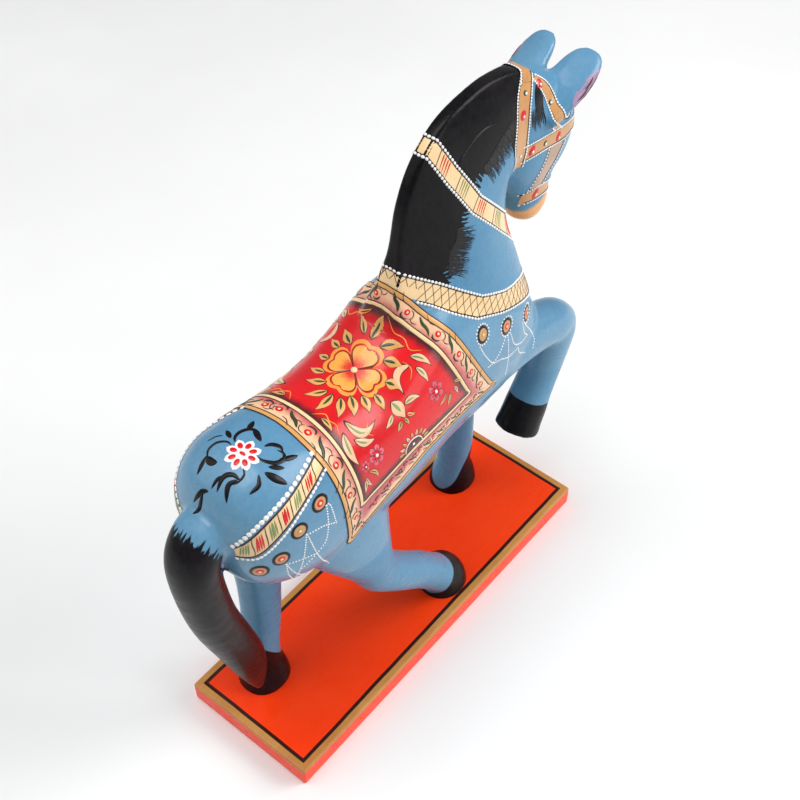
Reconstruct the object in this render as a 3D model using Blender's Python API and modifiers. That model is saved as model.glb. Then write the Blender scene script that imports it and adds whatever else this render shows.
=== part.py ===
"""Carved and painted wooden horse prancing on a rectangular base board.

Millimetre values are multiplied by MM, so every length ends up in metres, +Z up.
The horse faces -Y and its right side is -X. The origin is the centre of the
board's underside. The horse is carved as one form out of glued blocks: the form
is lofted, blended, and then cut at the glue joints. Each joint has a blind hole
on both sides with a beech dowel in it, and screws hold the three standing hooves.
"""

import math

import bmesh
import bpy
import numpy as np
from mathutils import Matrix, Vector

MM = 0.001

# Driving dimensions, in millimetres.
BOARD_LENGTH = 229.0
BOARD_WIDTH = 77.0
BOARD_THICKNESS = 12.7
BOARD_EDGE_RADIUS = 1.2
GAP = 0.3
SCREW_RADIUS = 1.9
SCREW_HEAD_RADIUS = 3.7
SCREW_HEAD_HEIGHT = 2.8
SCREW_LENGTH = 30.0
SCREW_SINK = 0.6
CARVING_GRAIN = 1.9
BLEND_STEPS = 7
CARVING_SHARE = 0.125
TAIL_SHARE = 0.18
DOWEL_SIDES = 16
SCREW_SIDES = 16
RING_POINTS = 40
LOFT_STEPS = 5

# Where the three standing hooves rest on the board: x, y of the hoof's middle.
HIND_LEFT_FOOT = (15.0, 86.0)
HIND_RIGHT_FOOT = (-20.0, -18.0)
FRONT_LEFT_FOOT = (19.5, -78.0)

# Paint colours of the pieces: linear RGB and roughness.
BLUE = ((0.147, 0.345, 0.539), 0.30)
BLACK = ((0.012, 0.011, 0.012), 0.22)
ORANGE = ((0.860, 0.060, 0.006), 0.32)
RAW_WOOD = ((0.520, 0.330, 0.160), 0.60)
STEEL = ((0.560, 0.560, 0.550), 0.35)


def clear_scene():
    for item in list(bpy.data.objects):
        bpy.data.objects.remove(item, do_unlink=True)


def make_collection(name):
    collection = bpy.data.collections.new(name)
    bpy.context.scene.collection.children.link(collection)
    return collection


def make_material(name, paint, metallic=0.0):
    colour, roughness = paint
    material = bpy.data.materials.new(name)
    material.use_nodes = True
    shader = material.node_tree.nodes["Principled BSDF"]
    shader.inputs["Base Color"].default_value = (*colour, 1.0)
    shader.inputs["Roughness"].default_value = roughness
    shader.inputs["Metallic"].default_value = metallic
    return material


# ---------------------------------------------------------------- lofted forms


def smooth_rows(rows, steps):
    """Rows read from a Catmull-Rom curve through the given rows, steps per span."""
    rows = np.array(rows, float)
    padded = np.vstack([2 * rows[0] - rows[1], rows, 2 * rows[-1] - rows[-2]])
    out = []
    for i in range(len(rows) - 1):
        p0, p1, p2, p3 = padded[i:i + 4]
        for k in range(steps):
            t = k / steps
            out.append(
                0.5 * (2 * p1 + (p2 - p0) * t + (2 * p0 - 5 * p1 + 4 * p2 - p3) * t ** 2
                       + (3 * p1 - p0 - 3 * p2 + p3) * t ** 3)
            )
    out.append(rows[-1])
    return out


def superellipse(angle, power):
    """A point of the unit superellipse at this angle."""
    c, s = math.cos(angle), math.sin(angle)
    return (math.copysign(abs(c) ** (2 / power), c), math.copysign(abs(s) ** (2 / power), s))


def ring_angles():
    return [2 * math.pi * i / RING_POINTS for i in range(RING_POINTS)]


def loft(name, rings, collection):
    """A closed solid through rings of equal length, given in millimetres."""
    mesh = bmesh.new()
    rows = [[mesh.verts.new(Vector(p) * MM) for p in ring] for ring in rings]
    for low, high in zip(rows, rows[1:]):
        for i in range(len(low)):
            j = (i + 1) % len(low)
            mesh.faces.new((low[i], low[j], high[j], high[i]))
    mesh.faces.new(rows[0][::-1])
    mesh.faces.new(rows[-1])
    bmesh.ops.recalc_face_normals(mesh, faces=mesh.faces[:])
    data = bpy.data.meshes.new(name)
    mesh.to_mesh(data)
    mesh.free()
    item = bpy.data.objects.new(name, data)
    collection.objects.link(item)
    return item


def trunk_rings():
    """Barrel of the horse. Stations: y, top, bottom, half width, squareness."""
    stations = [
        (117.5, 191, 170, 9, 2.2),
        (115.0, 199, 158, 18.5, 2.3),
        (109.0, 207, 146, 26.0, 2.4),
        (97.0, 212, 137, 31.5, 2.4),
        (80.0, 211, 130, 33.5, 2.4),
        (55.0, 206, 127, 33.5, 2.4),
        (30.0, 206, 125, 33.5, 2.3),
        (8.0, 216, 124, 33, 2.2),
        (-12.0, 226, 124, 32.5, 2.1),
        (-40.0, 219, 124, 31.5, 2.1),
        (-62.0, 204, 126, 29, 2.1),
        (-78.0, 190, 131, 25.5, 2.1),
        (-88.0, 178, 138, 18.5, 2.1),
        (-94.0, 166, 147, 9.5, 2.0),
    ]
    rings = []
    for y, top, bottom, half, power in smooth_rows(stations, LOFT_STEPS):
        middle, rise = (top + bottom) / 2, (top - bottom) / 2
        ring = []
        for angle in ring_angles():
            u, v = superellipse(angle, power)
            ring.append((half * u, y, middle + rise * v))
        rings.append(ring)
    return rings


def almond_ring(rear, front, half, crest, widest):
    """A neck section in a plane through the X direction: narrow at the crest,
    widest at the given share of the way to the throat, round at the throat."""
    rear, front = np.array(rear, float), np.array(front, float)
    points = []
    count = RING_POINTS // 2
    for side in (1, -1):
        line = []
        for k in range(count):
            share = k / (count - 1)
            along = 0.5 - 0.5 * math.cos(math.pi * share)
            if along < widest:
                rise = math.sin(0.5 * math.pi * along / widest) ** 0.9
                width = crest + (half - crest) * rise
            else:
                width = half * math.sqrt(max(0.0, 1 - ((along - widest) / (1 - widest)) ** 2))
            width = max(width, 0.4)
            y, z = rear + (front - rear) * along
            line.append((side * width, y, z))
        points.extend(line if side == 1 else line[::-1])
    return points


def neck_rings():
    """Arched neck. Stations: crest y and z, throat y and z, half width, crest half width."""
    stations = [
        (26, 184, -76, 130, 28, 16),
        (12, 209, -90, 150, 30, 12),
        (4.5, 228, -92, 171, 27, 7),
        (-1.5, 248, -87, 189, 22, 3.2),
        (-6, 270, -80.5, 208, 18, 2.7),
        (-15, 287, -75, 221, 15, 2.7),
        (-31, 299, -72, 234, 13.5, 2.7),
        (-54, 303, -73, 246, 12.5, 2.7),
        (-72, 301, -84, 252, 11.5, 3.2),
        (-86, 296, -96, 262, 10, 4.5),
    ]
    rings = []
    for ry, rz, fy, fz, half, crest in smooth_rows(stations, LOFT_STEPS):
        rings.append(almond_ring((ry, rz), (fy, fz), half, crest, 0.62))
    return rings


def head_rings():
    """Bowed head. Stations: jaw y and z, face y and z, half width, squareness."""
    stations = [
        (-70, 295, -96, 291.5, 6.5, 2.2),
        (-67, 287, -107, 283, 10.5, 2.4),
        (-66, 276, -117, 270, 13.0, 2.5),
        (-66, 263, -123.5, 256, 13.6, 2.6),
        (-70, 251, -119.5, 243, 13.0, 2.6),
        (-77, 240, -112.5, 234, 10.8, 2.5),
        (-82, 230, -109.5, 226, 9.4, 2.4),
        (-84, 221, -109.5, 217, 9.4, 2.3),
        (-87, 214, -106, 210, 7.6, 2.2),
        (-91, 210, -101, 207, 4.5, 2.0),
    ]
    rings = []
    for jy, jz, fy, fz, half, power in smooth_rows(stations, LOFT_STEPS):
        ring = []
        for angle in ring_angles():
            u, v = superellipse(angle, power)
            share = 0.5 + 0.5 * v
            ring.append((half * u, jy + (fy - jy) * share, jz + (fz - jz) * share))
        rings.append(ring)
    return rings


def limb_rings(stations, side_axis=(1, 0, 0)):
    """Sections square to a smooth path. Stations: x, y, z, half width, half depth."""
    rows = smooth_rows(stations, LOFT_STEPS)
    path = np.array([row[:3] for row in rows])
    tangents = np.gradient(path, axis=0)
    rings = []
    for row, tangent in zip(rows, tangents):
        tangent = tangent / np.linalg.norm(tangent)
        side = np.array(side_axis, float)
        side = side - tangent * side.dot(tangent)
        side = side / np.linalg.norm(side)
        depth = np.cross(tangent, side)
        ring = []
        for angle in ring_angles():
            u, v = superellipse(angle, 2.2)
            ring.append(tuple(row[:3] + side * row[3] * u + depth * row[4] * v))
        rings.append(ring)
    return rings


def hoof_stations(foot, lean_y=0.0):
    """The flared end of a standing leg, up to the fetlock."""
    x, y = foot
    top = BOARD_THICKNESS + GAP
    return [
        (x, y + lean_y * 0.5, top + 26, 8.6, 8.6),
        (x, y + lean_y * 0.2, top + 17, 9.4, 9.8),
        (x, y, top + 8, 11.4, 12.2),
        (x, y, top, 12.8, 13.6),
        (x, y, top - 4, 12.8, 13.6),
    ]


def build_limbs(collection):
    top = BOARD_THICKNESS + GAP
    hind_left = [
        (17, 74, 172, 14, 22),
        (17, 76, 142, 14, 18),
        (16, 79.5, 116, 11.8, 13.5),
        (15, 81, 92, 10.0, 11.0),
        (15, 82.5, 66, 9.4, 10.0),
        (15, 85, 44, 9.0, 9.5),
    ] + hoof_stations(HIND_LEFT_FOOT)[1:]
    hind_right = [
        (-17, 64, 168, 14, 28),
        (-18.5, 56, 141, 14, 25),
        (-20, 49, 118, 13, 18),
        (-20.5, 43, 100, 11.6, 12.8),
        (-20.5, 36.5, 84, 10.3, 11.2),
        (-20.5, 19.5, 63, 9.9, 10.0),
        (-20, 3, 45, 9.8, 9.8),
        (-20, -10, 28, 10.2, 10.2),
        (-20, -17, top + 7, 11.6, 12.0),
        (-20, -18, top, 12.8, 13.6),
        (-20, -18, top - 4, 12.8, 13.6),
    ]
    front_left = [
        (17, -66, 160, 14, 20),
        (18, -71, 132, 13, 17),
        (19, -75, 108, 10.8, 12.5),
        (19.5, -78, 84, 9.8, 10.4),
        (19.5, -79, 60, 9.6, 10.0),
        (19.5, -79, 42, 9.6, 9.8),
    ] + hoof_stations(FRONT_LEFT_FOOT)[1:]
    forearm = [
        (-15, -58, 154, 13, 16),
        (-16.5, -75, 153, 12.5, 13.8),
        (-17.5, -90, 149.5, 11.8, 12.6),
        (-18, -104, 144, 11.4, 12.0),
        (-18, -113, 137, 9.5, 10.0),
    ]
    cannon = [
        (-18, -106, 148, 7.5, 7.5),
        (-18, -108, 139, 11, 12),
        (-17.8, -106, 126, 10.6, 11.2),
        (-17.5, -100, 110, 10.2, 10.2),
        (-17, -94.5, 98, 10.6, 10.6),
        (-17, -91, 91, 11.2, 11.2),
        (-17, -87, 84, 11.4, 11.6),
        (-17, -83.5, 78, 12.2, 12.4),
    ]
    limbs = []
    for name, stations in (
        ("hind_left_form", hind_left),
        ("hind_right_form", hind_right),
        ("front_left_form", front_left),
        ("forearm_form", forearm),
        ("cannon_form", cannon),
    ):
        limbs.append(loft(name, limb_rings(stations), collection))
    return limbs


def ear_form(side, collection):
    """Leaf-shaped ear, its hollow facing outward. side is 1 for the horse's left."""
    stations = [
        (8.0, -90, 272, 9.0, 5.5),
        (9.5, -99, 277, 9.8, 5.0),
        (10.8, -108, 281.5, 9.8, 4.2),
        (11.6, -115.5, 285, 8.8, 3.4),
        (12.0, -121, 287.5, 6.8, 2.6),
        (12.0, -124, 289, 3.6, 1.6),
    ]
    rows = [(side * x, y, z, a, b) for x, y, z, a, b in stations]
    return loft("ear_form", limb_rings(rows, side_axis=(side, 0, -0.3)), collection)


def tail_stations():
    """Curved tail in the middle plane, leaving the rump and ending in a point."""
    return [
        (0, 100, 180, 11.5, 10.5),
        (0, 112, 183.0, 11.5, 10.5),
        (0, 120.5, 182.0, 12, 10.5),
        (0, 126.5, 171, 12, 10.5),
        (0, 125.7, 150, 11, 11),
        (0, 121.3, 122, 9.8, 10.8),
        (0, 113.3, 94, 8.4, 10.3),
        (0.5, 106.5, 70, 6.6, 9.6),
        (1.5, 102.5, 50, 4.6, 6.9),
        (2, 100.5, 33, 1.8, 2.4),
    ]


# ------------------------------------------------------- carving and cutting


def join_meshes(name, items, collection):
    merged = bmesh.new()
    for item in items:
        merged.from_mesh(item.data)
        bpy.data.objects.remove(item, do_unlink=True)
    data = bpy.data.meshes.new(name)
    merged.to_mesh(data)
    merged.free()
    joined = bpy.data.objects.new(name, data)
    collection.objects.link(joined)
    return joined


def settle(item):
    """Replace the object's mesh with its evaluated mesh and drop the modifiers."""
    bpy.context.view_layer.update()
    graph = bpy.context.evaluated_depsgraph_get()
    data = bpy.data.meshes.new_from_object(item.evaluated_get(graph))
    item.modifiers.clear()
    old = item.data
    item.data = data
    bpy.data.meshes.remove(old)
    return item


def blend_form(item, share):
    """Blend overlapping forms into one skin, smooth it and keep a share of its faces."""
    remesh = item.modifiers.new("Blend", "REMESH")
    remesh.mode = "VOXEL"
    remesh.voxel_size = CARVING_GRAIN * MM
    smooth = item.modifiers.new("Smooth", "SMOOTH")
    smooth.factor = 0.5
    smooth.iterations = BLEND_STEPS
    decimate = item.modifiers.new("Lighten", "DECIMATE")
    decimate.ratio = share
    return settle(item)


def carved_form(collection):
    """Everything but the free tail: trunk, neck, head, ears, legs and the tail's root."""
    forms = [
        loft("trunk_form", trunk_rings(), collection),
        loft("neck_form", neck_rings(), collection),
        loft("head_form", head_rings(), collection),
        loft("tail_root_form", limb_rings(tail_stations()[:4]), collection),
        ear_form(1, collection),
        ear_form(-1, collection),
    ]
    forms += build_limbs(collection)
    return blend_form(join_meshes("carving", forms, collection), CARVING_SHARE)


def block(seat, outward, across, sizes, collection, gap=0.0):
    """A box cutter. Its near face is centred on seat and the box lies on the outward
    side. sizes are its width along across, its height, and its reach outward."""
    outward = Vector(outward).normalized()
    across = Vector(across)
    across = (across - outward * across.dot(outward)).normalized()
    up = outward.cross(across)
    width, height, reach = sizes
    bpy.ops.mesh.primitive_cube_add(size=1)
    cutter = bpy.context.object
    centre = Vector(seat) + outward * (reach / 2 - gap)
    turn = Matrix((across, up, outward)).transposed().to_4x4()
    scale = Matrix.Diagonal((width + 2 * gap, height + 2 * gap, reach, 1.0))
    cutter.matrix_world = Matrix.Translation(centre * MM) @ turn @ Matrix.Scale(MM, 4) @ scale
    move_to(cutter, collection)
    cutter.hide_render = True
    cutter.display_type = "WIRE"
    return cutter


def move_to(item, collection):
    for owner in list(item.users_collection):
        owner.objects.unlink(item)
    collection.objects.link(item)


def cylinder(name, middle, axis, radius, length, sides, collection):
    bpy.ops.mesh.primitive_cylinder_add(vertices=sides, radius=radius * MM, depth=length * MM)
    item = bpy.context.object
    item.name = name
    turn = Vector((0, 0, 1)).rotation_difference(Vector(axis)).to_matrix().to_4x4()
    item.matrix_world = Matrix.Translation(Vector(middle) * MM) @ turn
    move_to(item, collection)
    return item


def cut(item, cutter, operation):
    boolean = item.modifiers.new("Cut", "BOOLEAN")
    boolean.operation = operation
    boolean.solver = "EXACT"
    boolean.object = cutter
    return settle(item)


def keep_largest(item):
    """Drop loose crumbs that a slanted cut can leave beside a piece."""
    mesh = bmesh.new()
    mesh.from_mesh(item.data)
    left = set(mesh.verts)
    islands = []
    while left:
        stack = [left.pop()]
        island = list(stack)
        while stack:
            for edge in stack.pop().link_edges:
                for vert in edge.verts:
                    if vert in left:
                        left.remove(vert)
                        island.append(vert)
                        stack.append(vert)
        islands.append(island)
    islands.sort(key=len)
    for island in islands[:-1]:
        bmesh.ops.delete(mesh, geom=island, context="VERTS")
    mesh.to_mesh(item.data)
    mesh.free()
    return item


# Each piece cut from the carving: name, seat, outward direction, across direction,
# and the cutter's width, height and reach. The order is the order of cutting.
CUTS = [
    ("ear_left", (13.2, -104, 279.5), (0.10, -0.88, 0.46), (1, 0, 0), (26, 14, 30)),
    ("ear_right", (-13.2, -104, 279.5), (-0.10, -0.88, 0.46), (1, 0, 0), (26, 14, 30)),
    ("head", (0, -66.5, 269), (0, -0.962, 0.275), (1, 0, 0), (60, 138, 80)),
    ("front_leg_right_lower", (-19, -94, 118), (0, 0, -1), (1, 0, 0), (33, 64, 60)),
    ("front_leg_right_upper", (-19, -91.5, 147), (-0.5, -0.866, 0), (1, 0, 0), (34, 60, 50)),
    ("front_leg_left", (19, -74, 120), (0, 0, -1), (1, 0, 0), (36, 60, 120)),
    ("hind_leg_left", (19, 80, 121), (0, 0, -1), (1, 0, 0), (34, 62, 120)),
    ("hind_leg_right", (-19, 28, 121), (0, 0, -1), (1, 0, 0), (34, 138, 120)),
    ("neck", (0, -42, 202), (0, -0.584, 0.811), (1, 0, 0), (90, 190, 150)),
]

# Glued dowels: name, middle, axis, radius, length, and the two pieces they join.
DOWELS = [
    ("ear_peg_left", (11.2, -104, 279.6), (0.10, -0.88, 0.46), 1.5, 13, "ear_left", "head"),
    ("ear_peg_right", (-11.2, -104, 279.6), (-0.10, -0.88, 0.46), 1.5, 13, "ear_right", "head"),
    ("head_dowel", (0, -67, 268), (0, -0.962, 0.275), 3.0, 36, "head", "neck"),
    ("neck_dowel_rear", (0, -22, 216), (0, -0.584, 0.811), 4.0, 44, "neck", "trunk"),
    ("neck_dowel_front", (0, -68, 183), (0, -0.584, 0.811), 4.0, 40, "neck", "trunk"),
    ("foreleg_dowel", (-17.5, -92, 149), (-0.4, -0.91, -0.05), 3.5, 30, "front_leg_right_upper", "trunk"),
    ("knee_dowel", (-17.7, -103.2, 118), (0, 0.33, -0.94), 3.0, 24, "front_leg_right_lower",
     "front_leg_right_upper"),
    ("front_leg_dowel", (18.6, -73.5, 120), (0, 0, 1), 3.5, 36, "front_leg_left", "trunk"),
    ("hind_leg_dowel_left", (16.4, 80.5, 121), (0, 0, 1), 3.5, 36, "hind_leg_left", "trunk"),
    ("hind_leg_dowel_right", (-19.6, 61, 121), (0, -0.35, -0.94), 3.5, 36, "hind_leg_right", "trunk"),
    ("tail_dowel", (0, 115, 183), (0, 1, 0), 3.5, 24, "tail", "trunk"),
]
TAIL_SEAT = (0, 119.5, 183)

# Screws through the board: name, x and y, and the leg they hold.
SCREWS = [
    ("hoof_screw_front_left", FRONT_LEFT_FOOT, "front_leg_left"),
    ("hoof_screw_hind_left", HIND_LEFT_FOOT, "hind_leg_left"),
    ("hoof_screw_hind_right", (HIND_RIGHT_FOOT[0], HIND_RIGHT_FOOT[1] + 3), "hind_leg_right"),
]


def cut_carving(parts, cutters):
    """Cut the carving at its glue joints; what is left at the end is the trunk."""
    rest = carved_form(parts)
    pieces = {}
    ground = block((0, 0, BOARD_THICKNESS + GAP), (0, 0, -1), (1, 0, 0), (140, 300, 40), cutters)
    cut(rest, ground, "DIFFERENCE")
    tail_box = block(TAIL_SEAT, (0, 1, 0), (1, 0, 0), (60, 120, 40), cutters)
    cut(rest, tail_box, "DIFFERENCE")
    for name, seat, outward, across, sizes in CUTS:
        piece = bpy.data.objects.new(name, rest.data.copy())
        parts.objects.link(piece)
        inside = block(seat, outward, across, sizes, cutters)
        cut(piece, inside, "INTERSECT")
        pieces[name] = keep_largest(piece)
        grown = block(seat, outward, across, sizes, cutters, gap=GAP)
        cut(rest, grown, "DIFFERENCE")
        keep_largest(rest)
    rest.name = "trunk"
    pieces["trunk"] = rest
    tail = loft("tail", limb_rings(tail_stations()), parts)
    blend_form(tail, TAIL_SHARE)
    seat = (TAIL_SEAT[0], TAIL_SEAT[1] + GAP, TAIL_SEAT[2])
    rump_side = block(seat, (0, -1, 0), (1, 0, 0), (60, 54, 60), cutters)
    cut(tail, rump_side, "DIFFERENCE")
    pieces["tail"] = keep_largest(tail)
    return pieces


def add_dowels(pieces, parts, cutters):
    for name, middle, axis, radius, length, first, second in DOWELS:
        dowel = cylinder(name, middle, axis, radius, length, DOWEL_SIDES, parts)
        chamfer = dowel.modifiers.new("Chamfer", "BEVEL")
        chamfer.width = 0.15 * radius * MM
        chamfer.segments = 1
        chamfer.angle_limit = math.radians(60)
        chamfer.limit_method = "ANGLE"
        hole = cylinder(name + "_hole", middle, axis, radius + GAP, length + 2 * GAP, DOWEL_SIDES, cutters)
        hole.hide_render = True
        hole.display_type = "WIRE"
        for owner in (first, second):
            cut(pieces[owner], hole, "DIFFERENCE")
        pieces[name] = dowel


def turned(name, profile, sides, collection):
    """Solid of revolution about Z from a profile of (radius, height) in millimetres,
    listed from the top down."""
    mesh = bpy.data.meshes.new(name)
    points = [(radius * MM, 0, height * MM) for radius, height in profile]
    mesh.from_pydata(points, [(i, i + 1) for i in range(len(points) - 1)], [])
    item = bpy.data.objects.new(name, mesh)
    collection.objects.link(item)
    screw = item.modifiers.new("Turn", "SCREW")
    screw.steps = sides
    screw.render_steps = sides
    screw.use_merge_vertices = True
    screw.merge_threshold = 0.00001
    return settle(item)


def screw_profile(grow):
    """Countersunk wood screw, head down. grow widens it all round, for its hole."""
    low = SCREW_SINK if grow == 0 else -1.0
    top = SCREW_LENGTH + grow
    head_top = SCREW_SINK + SCREW_HEAD_HEIGHT
    return [
        (0.0, top),
        (SCREW_RADIUS * 0.35 + grow, top - 1.0),
        (SCREW_RADIUS + grow, top - 6.0),
        (SCREW_RADIUS + grow, head_top + grow),
        (SCREW_HEAD_RADIUS + grow, SCREW_SINK + 0.4 + grow),
        (SCREW_HEAD_RADIUS + grow, low),
        (0.0, low),
    ]


def add_screws(pieces, parts, cutters):
    for name, (x, y), leg in SCREWS:
        screw = turned(name, screw_profile(0.0), SCREW_SIDES, parts)
        screw.location = (x * MM, y * MM, 0)
        bpy.context.view_layer.update()
        slot = block((x, y, SCREW_SINK - 1), (0, 0, 1), (1, 0, 0), (5.0, 1.0, 2.0), cutters)
        cut(screw, slot, "DIFFERENCE")
        hole = turned(name + "_hole", screw_profile(GAP), SCREW_SIDES, cutters)
        hole.location = (x * MM, y * MM, 0)
        hole.hide_render = True
        hole.display_type = "WIRE"
        for owner in (leg, "base_board"):
            cut(pieces[owner], hole, "DIFFERENCE")
        pieces[name] = screw


def make_board(collection):
    bpy.ops.mesh.primitive_cube_add(size=1)
    board = bpy.context.object
    board.name = "base_board"
    size = Matrix.Diagonal((BOARD_WIDTH * MM, BOARD_LENGTH * MM, BOARD_THICKNESS * MM, 1.0))
    board.data.transform(Matrix.Translation((0, 0, BOARD_THICKNESS * MM / 2)) @ size)
    move_to(board, collection)
    rounding = board.modifiers.new("Rounding", "BEVEL")
    rounding.width = BOARD_EDGE_RADIUS * MM
    rounding.segments = 3
    return settle(board)


def paint_pieces(pieces):
    blue = make_material("blue_lacquer", BLUE)
    black = make_material("black_lacquer", BLACK)
    orange = make_material("orange_lacquer", ORANGE)
    wood = make_material("raw_wood", RAW_WOOD)
    steel = make_material("steel", STEEL, metallic=1.0)
    for name, piece in pieces.items():
        if name.startswith("hoof_screw"):
            paint = steel
        elif "dowel" in name or "peg" in name:
            paint = wood
        else:
            paint = {"base_board": orange, "tail": black}.get(name, blue)
        piece.data.materials.clear()
        piece.data.materials.append(paint.copy())
        piece.data.shade_smooth()
        piece.data.set_sharp_from_angle(angle=math.radians(40))


def main():
    clear_scene()
    parts = make_collection("painted_wooden_horse")
    cutters = make_collection("cutters")
    pieces = cut_carving(parts, cutters)
    pieces["base_board"] = make_board(parts)
    add_dowels(pieces, parts, cutters)
    add_screws(pieces, parts, cutters)
    paint_pieces(pieces)


main()
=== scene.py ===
"""Looks of the painted wooden horse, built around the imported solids.

Lengths are millimetres up to the studio, except in a shader's nodes; MM turns them into
metres. The horse faces -Y, its right side is -X, and z = 0 is the table. Ornament is
thin raised paint laid on the carved skin from the design tables below: a chart turns two
measures on the skin into a place, and its mirror image serves the horse's left side.
"""

import math

import bmesh
import bpy
import numpy as np
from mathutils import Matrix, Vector
from mathutils.bvhtree import BVHTree


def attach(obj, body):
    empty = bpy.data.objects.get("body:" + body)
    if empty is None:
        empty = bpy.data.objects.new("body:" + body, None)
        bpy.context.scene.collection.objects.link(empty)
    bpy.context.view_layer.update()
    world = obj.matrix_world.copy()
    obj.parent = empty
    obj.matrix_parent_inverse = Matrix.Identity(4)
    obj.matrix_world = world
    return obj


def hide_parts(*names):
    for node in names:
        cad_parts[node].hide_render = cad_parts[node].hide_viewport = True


MM = 0.001

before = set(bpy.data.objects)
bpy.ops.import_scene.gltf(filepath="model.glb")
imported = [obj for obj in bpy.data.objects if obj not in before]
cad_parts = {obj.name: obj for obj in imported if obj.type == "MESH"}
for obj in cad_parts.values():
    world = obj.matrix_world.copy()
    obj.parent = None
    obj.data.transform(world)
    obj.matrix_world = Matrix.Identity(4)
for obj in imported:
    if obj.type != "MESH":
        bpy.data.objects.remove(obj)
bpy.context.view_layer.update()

VOXEL = 0.85  # grid of the remesh that blends the carved forms
GAP = 0.3  # between the board and the hooves
RING_POINTS = 48
LOFT_STEPS = 6
BOARD_LENGTH = 229.0
BOARD_WIDTH = 77.0
BOARD_THICKNESS = 12.7
SOLE = BOARD_THICKNESS + GAP
HIND_LEFT_FOOT = (15.0, 86.0)
HIND_RIGHT_FOOT = (-20.0, -18.0)
FRONT_LEFT_FOOT = (19.5, -78.0)

VISUAL = bpy.data.collections.new("visual")
bpy.context.scene.collection.children.link(VISUAL)


def new_object(name, data, collection=VISUAL):
    item = bpy.data.objects.new(name, data)
    collection.objects.link(item)
    return item


def mesh_data(name, mesh):
    """Turn a bmesh into mesh data and free it."""
    data = bpy.data.meshes.new(name)
    mesh.to_mesh(data)
    mesh.free()
    return data


# ---------------------------------------------------------------- lofted forms


def smooth_rows(rows, steps):
    """Rows read from a Catmull-Rom curve through the given rows, steps per span."""
    rows = np.array(rows, float)
    padded = np.vstack([2 * rows[0] - rows[1], rows, 2 * rows[-1] - rows[-2]])
    out = []
    for i in range(len(rows) - 1):
        p0, p1, p2, p3 = padded[i:i + 4]
        for k in range(steps):
            t = k / steps
            out.append(
                0.5 * (2 * p1 + (p2 - p0) * t + (2 * p0 - 5 * p1 + 4 * p2 - p3) * t ** 2
                       + (3 * p1 - p0 - 3 * p2 + p3) * t ** 3)
            )
    out.append(rows[-1])
    return out


def superellipse(power):
    """Points round the unit superellipse: 2 is a circle, and more is squarer."""
    points = []
    for i in range(RING_POINTS):
        angle = 2 * math.pi * i / RING_POINTS
        c, s = math.cos(angle), math.sin(angle)
        points.append((math.copysign(abs(c) ** (2 / power), c),
                       math.copysign(abs(s) ** (2 / power), s)))
    return points


def loft(name, rings):
    """A closed solid through rings of equal length, given in millimetres."""
    mesh = bmesh.new()
    rows = [[mesh.verts.new(Vector(p) * MM) for p in ring] for ring in rings]
    for low, high in zip(rows, rows[1:]):
        for i in range(len(low)):
            j = (i + 1) % len(low)
            mesh.faces.new((low[i], low[j], high[j], high[i]))
    mesh.faces.new(rows[0][::-1])
    mesh.faces.new(rows[-1])
    bmesh.ops.recalc_face_normals(mesh, faces=mesh.faces[:])
    return new_object(name, mesh_data(name, mesh))


def trunk_rings():
    """Barrel of the horse. Stations: y, top, bottom, half width, squareness."""
    stations = [
        (117.5, 191, 170, 9, 2.2),
        (115.0, 199, 158, 18.5, 2.3),
        (109.0, 207, 146, 26.0, 2.4),
        (97.0, 212, 137, 31.5, 2.4),
        (80.0, 211, 130, 33.5, 2.4),
        (55.0, 206, 127, 33.5, 2.4),
        (30.0, 206, 125, 33.5, 2.3),
        (8.0, 216, 124, 33, 2.2),
        (-12.0, 226, 124, 32.5, 2.1),
        (-40.0, 219, 124, 31.5, 2.1),
        (-62.0, 204, 126, 29, 2.1),
        (-78.0, 190, 131, 25.5, 2.1),
        (-88.0, 178, 138, 18.5, 2.1),
        (-94.0, 166, 147, 9.5, 2.0),
    ]
    rings = []
    for y, top, bottom, half, power in smooth_rows(stations, LOFT_STEPS):
        middle, rise = (top + bottom) / 2, (top - bottom) / 2
        rings.append([(half * u, y, middle + rise * v) for u, v in superellipse(power)])
    return rings


def almond_ring(rear, front, half, crest, widest):
    """A neck section in a plane through the X direction: narrow at the crest,
    widest at the given share of the way to the throat, round at the throat."""
    rear, front = np.array(rear, float), np.array(front, float)
    points = []
    count = RING_POINTS // 2
    for side in (1, -1):
        line = []
        for k in range(count):
            share = k / (count - 1)
            along = 0.5 - 0.5 * math.cos(math.pi * share)
            if along < widest:
                rise = math.sin(0.5 * math.pi * along / widest) ** 0.9
                width = crest + (half - crest) * rise
            else:
                width = half * math.sqrt(max(0.0, 1 - ((along - widest) / (1 - widest)) ** 2))
            width = max(width, 0.4)
            y, z = rear + (front - rear) * along
            line.append((side * width, y, z))
        points.extend(line if side == 1 else line[::-1])
    return points


def neck_rings():
    """Arched neck. Stations: crest y and z, throat y and z, half width, crest half width."""
    stations = [
        (26, 184, -76, 130, 28, 16),
        (12, 209, -90, 150, 30, 12),
        (4.5, 228, -92, 171, 27, 7),
        (-1.5, 248, -87, 189, 22, 3.2),
        (-6, 270, -80.5, 208, 18, 2.7),
        (-15, 287, -75, 221, 15, 2.7),
        (-31, 299, -72, 234, 13.5, 2.7),
        (-54, 303, -73, 246, 12.5, 2.7),
        (-72, 301, -84, 252, 11.5, 3.2),
        (-86, 296, -96, 262, 10, 4.5),
    ]
    rings = []
    for ry, rz, fy, fz, half, crest in smooth_rows(stations, LOFT_STEPS):
        rings.append(almond_ring((ry, rz), (fy, fz), half, crest, 0.62))
    return rings


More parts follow.
